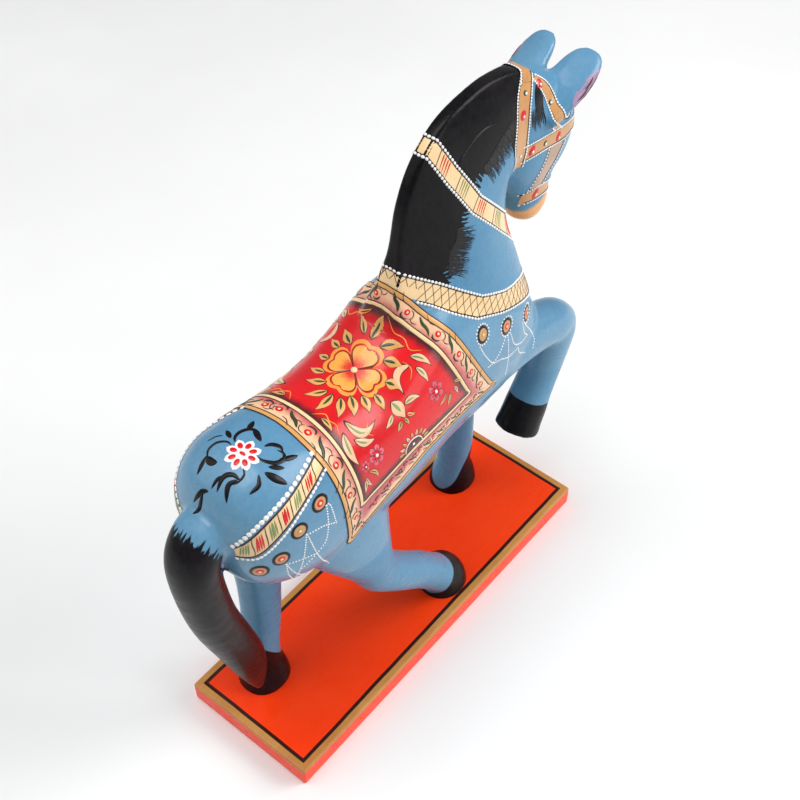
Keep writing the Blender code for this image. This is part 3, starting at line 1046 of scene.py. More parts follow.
# Black areas as planes, each black beyond its centre along its normal, and extra tints.
PIECE_PAINT = {
    "trunk": {},
    "neck": {"black_masks": [
        hair_edge((0, -55, 273), (0, 0.435, 0.90), UPPER_HAIR),
        hair_edge((0, -30, 248.6), (0, 0.90, 0.433), LOWER_HAIR),
    ]},
    "head": {
        "black_masks": [{"centre": (0, -74.5, 283), "normal": (0, 0.935, 0.355), "soft": 0.5}],
        "extra": [(MUZZLE, "eeb277", "e2a062")],
    },
    "ear_left": {},
    "ear_right": {},
    "front_leg_left": {"black_masks": [hoof_mask((14, -72.5, 27), (0, -0.84, -0.545))]},
    "hind_leg_left": {"black_masks": [hoof_mask((8, 80, 33), (0, 0.825, -0.567))]},
    "hind_leg_right": {"black_masks": [hoof_mask((-20, -14.0, 27.0), (0, -0.80, -0.60))]},
    "front_leg_right_upper": {},
    "front_leg_right_lower": {
        "black_masks": [hoof_mask((-17, -93.0, 96.5), (0, 0.42, -0.91))],
        "extra": [(HOOF_SOLE, "4a1018", "35090f")],
    },
    "tail": {
        "black_masks": [
            {"centre": (0, 0, 164), "normal": (0, 0, -1), "soft": 4.0},
            {"centre": (0, 124, 185), "normal": (0, 0.80, -0.60), "soft": 1.5, "ragged": 7.0,
             "scale": 900.0, "stretch": (1, 0.09, 1), "turn": (-0.65, 0, 0)},
        ],
    },
}
for name, masks in PIECE_PAINT.items():
    PIECES[name].data.materials.append(horse_paint(name + "_paint", **masks))

# ---------------------------------------------------------------- paint colours

# Plain enamels: pale and dark shade, brush scale and record slot.
ENAMELS = {
    "cream": ("f3d6a6", "ecc58e", 90.0, "gold_enamel"),
    "gold": ("e3ab68", "d09552", 90.0, "gold_enamel"),
    "peach": ("f4cba6", "eeb58c", 50.0, "gold_enamel"),
    "rose": ("e0647a", "c63a52", 90.0, "red_enamel"),
    "shade": ("5e2326", "44181c", 40.0, "red_enamel"),
    "orange": ("f6a648", "ef8a38", 90.0, "gold_enamel"),
    "green": ("3f4f2e", "27331e", 90.0, "green_enamel"),
    "sage": ("8c9a62", "6f8050", 90.0, "green_enamel"),
    "brown": ("4a2018", "35140f", 90.0, "black_lacquer"),
    "white": ("f4f3f0", "e6e6e6", 90.0, "white_enamel"),
    "tan": ("cf9a63", "bd8550", 90.0, "gold_enamel"),
    # dusk: the straps' tan, greyed and darkened; painted shade for the strip down the face.
    "dusk": ("bb9c84", "a5836f", 90.0, "gold_enamel"),
    "mauve": ("a58aa8", "8d6f92", 90.0, "red_enamel"),
}
# Washed paints: body shades, wash shades, the wash's start and end, its grain and slot.
WASHED = {
    "red": (("e0161e", "c80f18"), ("4e2024", "3a1519"), 0.36, 0.85, 260.0, "red_enamel"),
    "border": (("f3cba4", "eebb92"), ("cc5f62", "b8484f"), 0.35, 0.95, 260.0, "gold_enamel"),
    "petal": (("f7ab4f", "f09a3e"), ("dc2a1e", "c81616"), 0.3, 0.78, 1400.0, "gold_enamel"),
}
LINE_BLACK = enamel("black_line_paint", BLACK_PALE, BLACK_DARK, coat=0.12, specular=0.18)
PAINTS = {"black": (LINE_BLACK, "black_lacquer")}
for make, shades in ((enamel, ENAMELS), (washed_paint, WASHED)):
    for name, (*values, slot) in shades.items():
        PAINTS[name] = (make(name + "_paint", *values), slot)
RELIEFS = {}


def paint(area, colour, lift):
    """The relief for one colour in one area, which is one piece. Its first call sets how
    far it stands off the skin."""
    key = area + "_" + colour
    if key not in RELIEFS:
        RELIEFS[key] = (Relief(key, lift), colour)
    return RELIEFS[key][0]


# ---------------------------------------------------------------- saddle cloth

ANGLE_MM = 0.66  # millimetres of cloth for a degree round the trunk's axis
TRUNK_AXIS = 165
TRUNK_RADIUS = 35  # stands in where a ray misses
WRAP_REACH = 95
NET_REAR = 17.0  # the withers' net ends here along the trunk
NET_SIDE = 21.0  # and here down its side


def arc(degrees):
    return degrees * ANGLE_MM


def table(*pairs):
    """A smooth-enough function through (input, output) pairs."""
    inputs = [p[0] for p in pairs]
    outputs = [p[1] for p in pairs]
    return lambda value: float(np.interp(value, inputs, outputs))


def wrap_ray(u, v, side=1):
    """Where a line from the trunk's axis leaves it, at u along the trunk."""
    angle = math.radians(v / ANGLE_MM)
    ray = Vector((-math.sin(angle) * side, 0, math.cos(angle)))
    foot = Vector((0, u, TRUNK_AXIS))
    return SKIN.hit(foot + ray * WRAP_REACH, -ray) or (foot + ray * TRUNK_RADIUS, ray)


def wrap_chart(u, v, side=1):
    """Chart around the trunk: u is y, v runs from the back's middle down the right side.
    At the withers, where the neck rises steeply, points come from a smooth net between
    the cloth's front edges and the back."""
    fade_side, fade_rear = arc(14), 5
    found = wrap_ray(u, v, side)
    share = min(1.0, (NET_SIDE - abs(v)) / fade_side, (NET_REAR - u) / fade_rear)
    if share <= 0:
        return found
    front, inner = FRONT_OUT(abs(v)), FRONT_IN(abs(v))
    if u < inner:
        start, end, t = NET_IN(abs(v)), NET_OUT(abs(v)), (inner - u) / (inner - front)
    else:
        start, end = wrap_ray(NET_REAR, abs(v))[0], NET_IN(abs(v))
        t = (NET_REAR - u) / (NET_REAR - inner)
    guess = (start + (end - start) * t) * Vector((side * (1 if v >= 0 else -1), 1, 1))
    return SKIN.near(found[0].lerp(guess, share))


# The cloth's edges: along the trunk for each way down its side, and down for each along.
REAR_OUT = table((0, 72.6), (arc(20), 73.4), (arc(56), 71.4), (arc(90), 69.6), (arc(119), 67.2))
REAR_IN = table((0, 60.6), (arc(40), 61.2), (arc(82), 59.6))
FRONT_IN = table((0, 5.9), (arc(6), 5.2), (arc(15), 1.6), (arc(27), -1.6), (arc(40), -5.3),
                 (arc(73), -15.6))
FRONT_OUT = table((0, -5.1), (arc(5), -5.6), (arc(10), -7.0), (arc(15), -8.0), (arc(37), -16.6),
                  (arc(60), -25.0), (arc(99), -38.6))
LOW_OUT = table((-39, arc(98)), (-10, arc(93)), (16, arc(93)), (45, arc(104)), (67.5, arc(119)))
LOW_IN = table((-16, arc(73)), (24, arc(75)), (47, arc(79.5)), (60, arc(82)))
OUTER = (FRONT_OUT, REAR_OUT, LOW_OUT)
INNER = (FRONT_IN, REAR_IN, LOW_IN)


def net_line(*points):
    """A curve over the withers' right half: the place for each v from 0 to NET_SIDE."""
    x, y, z = (table(*((p[0], p[k]) for p in points)) for k in (1, 2, 3))
    return lambda v: Vector((x(v), y(v), z(v)))


NET_OUT = net_line(
    (0, 0, 2.4, 235), (3, -4.5, 1.8, 234.2), (6, -9.5, -2, 229), (9.9, -14.5, -6.3, 221.2),
    (15, -20.5, -10.5, 213.5), (NET_SIDE, -25.9, -14.9, 206.7))
NET_IN = net_line(
    (0, 0, 5.7, 224.7), (3, -4.4, 5.7, 224.3), (6, -9.2, 4.8, 221.5), (9.9, -14.1, 1.8, 216),
    (15, -20.2, -0.2, 211.6), (NET_SIDE, -25.6, -3, 205.9))


def cloth_point(a, b, front, rear, low):
    """Point of the cloth: a runs from its front edge to its rear edge, b from the middle
    of the back (0) to its lower edge (1)."""
    v = abs(b) * arc(90)
    for _ in range(6):  # y and v depend on each other, and settle in a few rounds
        y = front(v) + (rear(v) - front(v)) * a
        v = abs(b) * low(y)
    return (y, math.copysign(v, b))


def cloth_grid(relief, edges, reach, inward):
    """The cloth as one sheet. Each point's wash goes from 1 at the edge to 0 reach
    millimetres in from it, or from 0 to 1 if inward is true."""
    across, along, rim_sink = 84, 80, 0.12
    front, rear, low = edges
    rows = []
    for i in range(along + 1):
        row = []
        for k in range(-across, across + 1):
            u, v = cloth_point(i / along, k / across, front, rear, low)
            depth = min(u - front(abs(v)), rear(abs(v)) - u, low(u) - abs(v))
            rim = i in (0, along) or abs(k) == across
            share = min(1.0, max(0.0, depth) / reach)
            row.append(relief.point(wrap_chart, u, v, -rim_sink if rim else 0.0,
                                    share if inward else 1 - share))
        rows.append(row)
    relief.grid(rows)


def cloth_edge(edges, inset):
    """The cloth's outline on the right side, moved inwards by inset millimetres."""
    front, rear, low = edges
    depth = low(rear(arc(100)) - 5)
    marks = 14
    steps = [k / marks for k in range(marks + 1)]
    line = []
    for t in steps:
        v = t * (low(rear(depth)) - inset)
        line.append((rear(v) - inset, v))
    start, end = rear(depth) - inset, front(depth) + inset
    for t in steps[1:]:
        y = start + (end - start) * t
        line.append((y, low(y) - inset))
    for t in steps[1:]:
        v = (low(end) - inset) * (1 - t)
        line.append((front(v) + inset, v))
    return line


def both_sides(draw, chart=wrap_chart):
    """Call draw with the right-hand chart and with its mirror image."""
    for turned in SIDES:
        draw(turned(chart))


cloth_grid(paint("cloth", "border", 0.27), OUTER, 12.0, True)
cloth_grid(paint("cloth", "red", 0.36), INNER, 9.0, False)


def cloth_lines(chart):
    for colour, lift, edges, inset, width, rise in (
        ("gold", 0.34, OUTER, 1.3, 2.4, 0.08),
        ("black", 0.37, OUTER, 0.1, 0.5, 0.08),
        ("black", 0.34, OUTER, 2.6, 0.5, 0.08),
        ("cream", 0.4, INNER, 0.0, 1.9, 0.1),
        ("brown", 0.4, INNER, -1.15, 0.55, 0.1),
        ("brown", 0.4, INNER, 1.15, 0.55, 0.1),
    ):
        paint("cloth", colour, lift).ribbon(chart, cloth_edge(edges, inset), width, rise=rise)


both_sides(cloth_lines)

# Border motifs on the right side: place, heading along the border and size.
MOTIFS = [
    ((65.6, -4.5), (0, 1), 1.0),
    ((67.0, 10.5), (0, 1), 1.0),
    ((66.8, 26.0), (0, 1), 1.0),
    ((66.0, 41.5), (0, 1), 0.95),
    ((64.0, 59.0), (-0.2, 1), 0.8),
    ((61.5, 69.0), (-0.8, 0.5), 0.5),
    ((50.0, 61.5), (-1, -0.25), 0.62),
    ((40.5, 58.0), (-1, -0.2), 0.62),
    ((31.0, 56.0), (-1, -0.1), 0.62),
    ((21.0, 55.0), (-1, 0), 0.62),
    ((11.0, 55.2), (-1, 0), 0.62),
    ((0.5, 55.6), (-1, 0.05), 0.62),
    ((-10.0, 56.2), (-1, 0.05), 0.62),
    ((-20.5, 57.5), (-1, 0.05), 0.62),
    ((0.2, -3.0), (0.2, -1), 0.75),
    ((-1.2, 6.5), (0.3, -1), 0.85),
    ((-6.0, 15.5), (0.55, -1), 0.85),
    ((-11.6, 25.5), (0.5, -1), 0.9),
    ((-17.4, 36.5), (0.5, -1), 0.85),
    ((-23.6, 48.5), (0.4, -1), 0.7),
]
# A motif's strokes at size 1: colour, width and points.
SCROLL = [
    ("green", 1.9, [(4.2, 3.2), (5.6, 1.4), (7.4, 0.2), (9.6, -0.6), (12.6, -3.2)]),
    ("brown", 1.1, [(2.6, 1.4), (2.0, 3.2), (-0.4, 3.6), (-2.4, 2.4)]),
    ("brown", 0.5, [(-1.0, -2.2), (-3.4, -2.0), (-4.6, 0.2), (-3.4, 2.0)]),
    ("brown", 0.5, [(4.0, -2.6), (6.4, -2.8), (8.4, -4.2), (9.6, -6.0)]),
    ("brown", 0.5, [(-4.0, 1.2), (-6.0, 2.2), (-8.6, 1.2)]),
]


def scroll(chart, place, heading, size):
    """One border motif: a red-ringed dot with a brushed leaf and curls."""
    spot = local_chart(SKIN, chart, place, heading)
    turn = 1 if chart is wrap_chart else -1
    paint("cloth", "red", 0.4).dot(spot, 0, 0, 1.75 * size, rise=0.1, sides=12)
    paint("cloth", "cream", 0.48).dot(spot, 0, 0, 0.85 * size, rise=0.15)
    for colour, width, points in SCROLL:
        line = [(a * size, b * size * turn) for a, b in points]
        paint("cloth", colour, 0.4).ribbon(spot, line, width * size, tapered, 0.1)


def border_scrolls(chart):
    for place, heading, size in MOTIFS:
        if chart is wrap_chart or place[1] > 2:
            scroll(chart, place, heading, size)


both_sides(border_scrolls)


def leaf_shape(area, chart, root, tip, width, body="gold", heart="green", bend=0.0):
    """A painted leaf: outline, body and a darker heart."""
    root, tip = np.array(root, float), np.array(tip, float)
    across = np.array((-(tip - root)[1], (tip - root)[0]))
    elbow = (root + tip) / 2 + across * bend * 2

    def bow(start, end):
        return [tuple(root * (1 - t) ** 2 + elbow * 2 * t * (1 - t) + tip * t * t)
                for t in np.linspace(start, end, 6)]

    paint(area, "brown", 0.4).ribbon(chart, bow(0, 1), width + 0.9, leaf, 0.04, 0.6)
    paint(area, body, 0.44).ribbon(chart, bow(0.05, 0.95), width, leaf, 0.1, 0.6)
    paint(area, heart, 0.52).ribbon(chart, bow(0.06, 0.62), width * 0.36, tapered, 0.08, 0.6)


def heart_petal(relief, place, heading, size, half):
    """A broad petal with a dent in its tip, filled from the flower's centre outwards."""
    rings, spokes = 8, 9  # spokes on each side of the petal's middle
    rows = []
    for i in range(rings + 1):
        share = 0.06 + 0.94 * i / rings
        row = []
        for k in range(-spokes, spokes + 1):
            corner, dent = 0.42 * abs(k / spokes) ** 5, 0.10 * math.exp(-(k / 1.6) ** 2)
            reach = size * (1 - corner - dent)
            angle = heading + half * k / spokes
            rim = i == rings or abs(k) == spokes
            row.append(relief.point(wrap_chart, place[0] + reach * share * math.cos(angle),
                                    place[1] + reach * share * math.sin(angle),
                                    -RIM_SINK if rim else 0.08, wash=1 - share))
        rows.append(row)
    relief.grid(rows)


# Leaves round the big flower: root, tip, width.
FLOWER_LEAVES = [
    ((14.5, -2.0), (8.0, -7.0), 3.6),
    ((20.0, -4.5), (14.5, -11.0), 4.8),
    ((23.0, -8.0), (20.0, -14.5), 4.2),
    ((29.5, -9.0), (28.5, -15.5), 3.8),
    ((36.5, -5.5), (37.0, -13.5), 4.0),
    ((40.0, -1.5), (44.5, -9.5), 4.4),
    ((43.5, 2.0), (52.0, -4.0), 4.0),
    ((43.5, 4.5), (56.0, 4.8), 4.3),
    ((42.5, 7.5), (51.5, 13.2), 4.3),
    ((39.0, 9.5), (45.5, 17.0), 4.8),
    ((35.5, 12.5), (38.5, 20.0), 4.6),
    ((31.0, 15.5), (32.0, 23.2), 4.4),
    ((24.0, 15.0), (20.8, 21.0), 5.0),
    ((18.5, 9.0), (14.5, 16.0), 5.0),
    ((15.5, 5.2), (8.4, 11.5), 5.2),
    ((15.0, 1.0), (7.4, 1.6), 5.0),
]
FLOWER = (28.5, 3.2)
FLOWER_TILT = 0.05
# The flower's sheets from the lowest up: colour, radius, half angle and lift.
PETAL_SHEETS = [
    ("orange", 13.4, 0.785, 0.46),
    ("red", 12.8, 0.783, 0.5),
    ("brown", 12.2, 0.765, 0.54),
    ("petal", 11.65, 0.725, 0.6),
]

for root, tip, width in FLOWER_LEAVES:
    leaf_shape("flower", wrap_chart, root, tip, width, bend=0.06)
for quarter in range(4):
    heading = math.pi / 2 * quarter + FLOWER_TILT
    for colour, size, half, lift in PETAL_SHEETS:
        heart_petal(paint("flower_" + colour, colour, lift), FLOWER, heading, size, half)
paint("flower_eye", "cream", 0.74).dot(wrap_chart, *FLOWER, 1.4, rise=0.3)


def small_flower(chart, u, v, size, turn=0.0):
    """Six round petals, each a dark edge, a rose body and a red vein, round a white eye."""
    petals = 6
    for k in range(petals):
        angle = 2 * math.pi * k / petals + turn
        c, s = math.cos(angle) * size, math.sin(angle) * size
        for area, colour, lift, out, radius, rise, stretch in (
            ("cloth", "shade", 0.4, 0.66, 0.43, 0.04, 1.0),
            ("blossom", "rose", 0.48, 0.68, 0.33, 0.1, 1.0),
            ("blossom", "red", 0.62, 0.5, 0.15, 0.06, 1.5),
        ):
            turned = angle if stretch > 1 else 0.0
            paint(area, colour, lift).dot(
                chart, u + c * out, v + s * out, size * radius, rise, stretch, turned)
    paint("blossom", "red", 0.56).dot(chart, u, v, size * 0.32, 0.1)
    paint("blossom", "white", 0.66).dot(chart, u, v, size * 0.2, 0.25)


# Leaves on the side of the red field: root, tip, width, bend, body and heart colours.
SIDE_LEAVES = [
    ((9.5, 14.5), (3.5, 22.0), 3.6, 0.1, "peach", "sage"),
    ((10.2, 18.5), (8.0, 26.0), 3.2, 0.08, "peach", "sage"),
    ((11.0, 17.0), (20.5, 23.8), 3.6, -0.42, "peach", "peach"),
    ((27.4, 22.0), (25.0, 31.8), 6.4, 0.03, "peach", "sage"),
    ((22.8, 26.8), (14.0, 28.4), 3.4, 0.12, "peach", "sage"),
    ((29.6, 26.4), (36.2, 29.4), 2.9, 0.08, "peach", "sage"),
    ((27.4, 31.0), (31.5, 34.2), 2.6, 0.1, "gold", "green"),
    ((25.8, 31.4), (24.4, 35.2), 2.2, 0.1, "gold", "green"),
    ((23.6, 30.2), (19.4, 32.6), 2.4, -0.1, "gold", "red"),
    ((50.4, 15.2), (38.0, 23.4), 4.4, -0.36, "peach", "sage"),
    ((52.4, 23.4), (43.0, 29.0), 3.9, -0.14, "peach", "sage"),
    ((54.4, 18.6), (56.2, 33.4), 4.6, -0.14, "peach", "sage"),
    ((56.0, 41.5), (57.3, 48.5), 2.2, 0.05, "peach", "green"),
    ((53.0, 39.5), (48.5, 46.5), 2.2, 0.2, "gold", "green"),
    ((55.0, 40.5), (52.5, 47.5), 1.8, -0.1, "peach", "green"),
    ((57.0, 9.0), (58.4, 16.0), 3.2, 0.1, "gold", "green"),
    ((-4.2, 35.2), (-6.6, 40.8), 1.9, 0.1, "peach", "green"),
    ((0.6, 35.2), (6.0, 38.4), 2.0, 0.15, "gold", "green"),
    ((-1.6, 36.8), (1.0, 42.4), 2.0, 0.1, "gold", "sage"),
    ((-4.4, 33.6), (-10.0, 36.6), 2.0, 0.15, "gold", "green"),
    ((7.6, -2.6), (4.6, -9.6), 2.2, 0.2, "orange", "green"),
]
CURLS = [
    [(7.0, 3.0), (8.6, 6.0), (6.6, 9.5), (7.6, 13.0), (3.4, 16.0)],
    [(58.4, 5.6), (54.2, 9.0), (55.4, 12.0), (54.5, 15.0), (57.2, 19.0)],
    [(41.8, 22.0), (45.0, 25.0), (43.0, 28.0)],
    [(13.0, 14.0), (12.0, 18.0), (15.0, 21.0)],
]


def side_garden(chart):
    """Leaves, small flowers and curls on one side; those on the back are drawn once."""
    for root, tip, width, bend, body, heart in SIDE_LEAVES:
        if chart is wrap_chart or root[1] > 0:
            leaf_shape("leaves", chart, root, tip, width, body, heart, bend)
    small_flower(chart, 46.0, 35.6, 4.6)
    small_flower(chart, 6.0, 31.2, 4.2, 0.4)
    small_flower(chart, 53.6, 36.0, 2.4)
    half_flower(chart, 24.6, LOW_IN(24.6) - 1.4)
    for line in CURLS:
        paint("leaves", "orange", 0.4).ribbon(chart, line, 0.5, tapered, 0.1)


def half_flower(chart, u, v):
    """Half of a flower that grows from the lower border."""
    leaves = 9
    for k in range(leaves):
        angle = math.pi * (k + 0.5) / leaves
        c, s = math.cos(angle), -math.sin(angle)
        leaf_shape("leaves", chart, (u + c * 6.4, v + s * 5.4), (u + c * 10.2, v + s * 8.8), 1.9,
                   "peach" if k % 2 else "gold", "sage")
    mound = [(u - 5.4, v - 1.2), (u, v - 2.4), (u + 5.4, v - 1.2)]
    paint("leaves", "shade", 0.42).ribbon(chart, mound, 5.0, tapered, 0.05)
    arch = [(u + 5.6 * math.cos(a), v - 4.8 * math.sin(a)) for a in np.linspace(0, math.pi, 9)]
    paint("leaves", "white", 0.5).ribbon(chart, arch, 0.5, rise=0.1)
    paint("leaves", "white", 0.52).dot(chart, u, v - 1.8, 0.8, 0.2)


both_sides(side_garden)


# ---------------------------------------------------------------- bands around the neck


class Band:
    """A painted band on a ring chart; s runs along it and w across from its middle."""

    def __init__(self, area, ring, middle, width):
        self.area, self.ring, self.middle, self.width = area, ring, middle, width

    def __call__(self, s, w, side=1):
        return self.ring(s, self.middle(abs(s)) + w, side)

    def draw(self, chart, bare=0.0):
        """The band with its beaded edges; the lower edge's beads start at bare."""
        half, end, step = self.width / 2, self.ring.length, 1.4
        marks = np.arange(-step, end + 2, step)
        paint(self.area, "cream", 0.06).field(
            chart, [(s, -half) for s in marks], [(s, half) for s in marks], 7)
        for edge, start in ((-1, bare), (1, 0.0)):
            marks = np.append(np.arange(start, end, 2.0), end)
            line = [(s, edge * (half + 0.35)) for s in marks]
            under = [(s, edge * (half - 0.25)) for s in marks]
            paint(self.area, "black", 0.1).ribbon(chart, under, 0.75, rise=0.06)
            paint(self.area, "white", 0.16).beads(chart, line, 2.0, 0.66, 0.34, 1.35)


collar = Band(
    "collar", ring_chart(SKIN, (0, -44, 205), (0, -0.533, 0.846), (0, 1, 0.63)),
    table((0, 3.0), (24, 1.5), (38, -0.3), (52, -1.9), (69, 0.4), (83, 3.4), (95, 4.8),
          (131, 5.5)), 9.4)
crest_band = Band(
    "crest_band", ring_chart(SKIN, (0, -46.5, 256.5), (0, 0.782, -0.623), (0, 0.623, 0.782)),
    table((0, -2.6), (4, -2.8), (20, 0.8), (43, 4.2), (70, 2.5), (99, 0.0)), 7.6)
UNDER_CREST = 17.0  # up to here the cloth's front covers the collar's lower edge


def collar_lattice(chart):
    """Crossed brown lines along the collar."""
    for s in np.arange(0.0, collar.ring.length, 4.6):
        low = -4.5 if s > 18 else 0.6
        for lean in (-1, 1):
            line = [(s + 0.64 * low * lean, low), (s + 1.4 * lean, 2.2), (s + 2.9 * lean, 4.5)]
            paint("collar", "brown", 0.1).ribbon(chart, line, 0.36, rise=0.06)


def crest_slashes(chart):
    """A black rule, two pairs of red slashes, a gap, and the same with green ones."""
    rule, red, green = (0, 5), (1, 2), (6, 7)
    for k, s in enumerate(np.arange(9.0, crest_band.ring.length - 2, 3.3)):
        phase = k % 10
        if phase in rule:
            line = [(s - 0.8, -3.6), (s, 0), (s + 0.8, 3.6)]
            paint("crest_band", "black", 0.12).ribbon(chart, line, 0.5, rise=0.06)
        elif phase in red + green:
            for shift in (-0.8, 0.8):
                line = [(s + shift - 0.7, -2.9), (s + shift, 0), (s + shift + 0.7, 2.9)]
                paint("crest_band", "red" if phase in red else "sage", 0.12).ribbon(
                    chart, line, 1.0, stroke_end, 0.08)


for turned in SIDES:
    collar.draw(turned(collar), UNDER_CREST)
    crest_band.draw(turned(crest_band))
    collar_lattice(turned(collar))
    crest_slashes(turned(crest_band))

# ---------------------------------------------------------------- mane

NECK_SEAT = (-14, -45, 262)
NECK_SIDE = patch_chart(SKIN, NECK_SEAT, (-1, 0, 0), (0, 0, 1))
# Where the mane's edge runs, as (y, z): its hairs' heading and longest reach come with it.
HAIR_EDGES = [
    ([(-69, 281), (-60, 277), (-53, 272.8), (-47.5, 270)], UPPER_HAIR, 11.0),
    ([(-30.5, 251), (-29.5, 246), (-26, 241), (-25, 236), (-24, 231)], LOWER_HAIR, 8.5),
]


def mane_hairs(chart, seed):
    """Fine dark hairs that trail from the mane over the blue of the neck."""
    count, root, tip = 300, 3.5, 3.0
    draws = np.random.default_rng(seed)
    hairs = paint("mane", "black", 0.06)
    for edge, (_, dy, dz), longest in HAIR_EDGES:
        path = curve_points(edge, 0.3)
        for _ in range(count):
            y, z = path[draws.integers(len(path))]
            reach = draws.uniform(2.5, longest)
            turn = draws.normal(0, 0.13)
            c, s = math.cos(turn), math.sin(turn)
            ey, ez = dy * c - dz * s, dy * s + dz * c
            y -= ey * root
            z -= ez * root
            bend = draws.normal(0, 0.5)
            points = [(y, z), (y + ey * reach * 0.6 - ez * bend, z + ez * reach * 0.6 + ey * bend),
                      (y + ey * (reach + tip), z + ez * (reach + tip))]
            line = [(-(py - NECK_SEAT[1]), pz - NECK_SEAT[2]) for py, pz in points]
            hairs.ribbon(chart, line, draws.uniform(0.2, 0.42), stroke_end, 0.04, 1.6, 0.05)


def neck_line(chart):
    """The carved line that sets the jaw's muscle off from the neck."""
    line = NECK_SIDE.locate((-9, -56.2, 287.8), (-9, -49.0, 288.0), (-9, -41.7, 286.4),
                            (-9, -36.0, 283.4), (-9, -32.6, 280.0))
    paint("mane", "black", 0.06).ribbon(chart, line, 1.3, tapered, 0.3)


mane_hairs(NECK_SIDE, 4)
mane_hairs(mirrored(NECK_SIDE), 9)
both_sides(neck_line, NECK_SIDE)

# ---------------------------------------------------------------- rump

RUMP = patch_chart(SKIN, (-2.7, 94.6, 212), (0, 0, 1), (0, -1, 0))

# Black brush strokes round the daisy: points and width.
RUMP_STROKES = [
    ([(-6.5, 2.5), (-8.6, 4.5), (-9.2, 8.0), (-7.5, 11.5), (-4.5, 12.6), (-0.5, 11.2)], 1.5),
    ([(-7.5, 10.5), (-8.6, 13.5), (-9.8, 16.3)], 1.9),
    ([(-6.0, 12.3), (-3.0, 11.2), (0.8, 9.6)], 1.9),
    ([(-6.5, 0.5), (-9.5, 0.8), (-12.8, -1.8), (-13.4, -6.0), (-10.8, -9.0)], 1.1),
    ([(-11.8, -8.4), (-8.6, -9.4), (-5.9, -8.4)], 2.6),
    ([(-12.0, -7.6), (-11.6, -11.2), (-10.9, -15.3)], 1.6),
    ([(-17.2, -2.5), (-15.8, 0.6), (-13.5, 2.5)], 0.6),
    ([(-14.6, 5.6), (-12.6, 4.6), (-9.6, 3.0)], 1.7),
    ([(5.0, 3.0), (8.0, 3.4), (11.5, 6.2), (12.4, 10.0), (10.6, 12.0), (8.0, 11.2)], 1.5),
    ([(11.4, 8.6), (13.0, 11.6), (14.3, 16.1)], 1.8),
    ([(3.4, 8.6), (4.6, 11.4), (7.4, 13.2), (10.0, 12.4)], 1.6),
    ([(11.6, 0.0), (15.5, 1.6), (19.5, 4.1)], 2.6),
    ([(11.0, 2.8), (12.8, 4.8), (15.0, 7.7)], 1.6),
    ([(4.4, -4.4), (6.6, -6.2), (6.4, -9.6), (4.8, -11.8)], 0.8),
    ([(5.8, -9.0), (4.0, -12.0), (4.6, -14.2), (6.6, -17.0)], 1.7),
    ([(6.6, -8.6), (2.8, -8.8), (0.2, -11.4), (1.0, -16.4)], 1.7),
    ([(1.6, -11.2), (-1.2, -12.6), (-1.8, -16.6)], 1.2),
    ([(10.6, -2.2), (13.2, -5.2), (12.6, -9.8)], 1.5),
    ([(-2.6, -17.6), (-5.4, -18.6), (-8.4, -21.4)], 1.8),
    ([(-5.0, -18.4), (-4.6, -21.6), (-6.0, -24.6)], 1.5),
]


def daisy(size, petals):
    """White petals with red spots round a white and red eye, at the rump's middle."""
    for k in range(petals):
        angle = 2 * math.pi * (k + 0.25) / petals
        c, s = math.cos(angle) * size, math.sin(angle) * size
        line = [(c * out, s * out) for out in (0.16, 0.6, 1.0)]
        paint("rump", "white", 0.14).ribbon(RUMP, line, size * 0.52, petal, 0.16)
        paint("rump_spots", "red", 0.34).dot(
            RUMP, c * 0.56, s * 0.56, size * 0.155, 0.1, 1.5, angle)
    paint("rump_eye", "white", 0.36).dot(RUMP, 0, 0, size * 0.24, 0.16)
    paint("rump_eye", "red", 0.5).dot(RUMP, 0, 0, size * 0.13, 0.12, 1.6)


for line, width in RUMP_STROKES:
    paint("rump", "black", 0.12).ribbon(RUMP, line, width * 1.3, tapered, 0.12, 0.6)
daisy(7.6, 8)

# ---------------------------------------------------------------- crupper strap

CRUPPER = patch_chart(SKIN, (-26, 98, 194), (-0.8, 0.45, 0.35), (0, 0, 1))
STRAP_TOP = CRUPPER.locate(
    (-19.9, 73.4, 205.1), (-20.7, 77.2, 204.5), (-23.9, 89.8, 202.9), (-23.9, 102.2, 199.4),
    (-21.1, 110.8, 193.5), (-14.6, 116.2, 183.8))
STRAP_LOW = CRUPPER.locate(
    (-26.1, 72.6, 199.0), (-26.7, 76.3, 198.0), (-29.4, 91.0, 193.7), (-28.8, 102.1, 187.1),
    (-24.0, 111.2, 178.9), (-15.9, 115.9, 176.6))
MEDALLIONS = CRUPPER.locate(
    (-30.7, 81.8, 190.6), (-31.1, 94.7, 185.7), (-28.8, 104.0, 174.7), (-22.6, 111.0, 168.6))
# Bead chains below the medallions, as points (x, y, z).
CHAINS = [
    [(-31.3, 79.3, 187.4), (-32.0, 77.2, 185.7), (-33.5, 76.0, 174.0)],
    [(-31.5, 79.0, 187.0), (-33.0, 80.4, 176.0), (-33.2, 82.7, 167.5), (-32.6, 87.6, 164.1),
     (-30.4, 95.0, 159.3)],
    [(-33.5, 76.0, 174.0), (-33.0, 83.0, 178.4), (-32.2, 91.7, 180.8)],
    [(-32.2, 92.2, 181.4), (-31.7, 94.6, 166.9), (-27.5, 96.0, 152.0)],
    [(-32.2, 91.7, 180.8), (-32.6, 87.6, 164.1), (-31.0, 82.0, 150.0), (-27.8, 76.5, 140.2)],
    [(-32.6, 87.6, 164.1), (-31.7, 94.6, 166.9), (-29.4, 102.3, 169.3)],
    [(-29.4, 102.3, 169.3), (-27.6, 100.5, 160.0), (-26.6, 97.5, 151.4)],
    [(-29.2, 102.0, 169.0), (-28.8, 98.0, 159.0), (-25.6, 90.0, 146.0)],
]


def between(low, high, share):
    """The point this share of the way from low to high."""
    return tuple(a + (b - a) * share for a, b in zip(low, high))


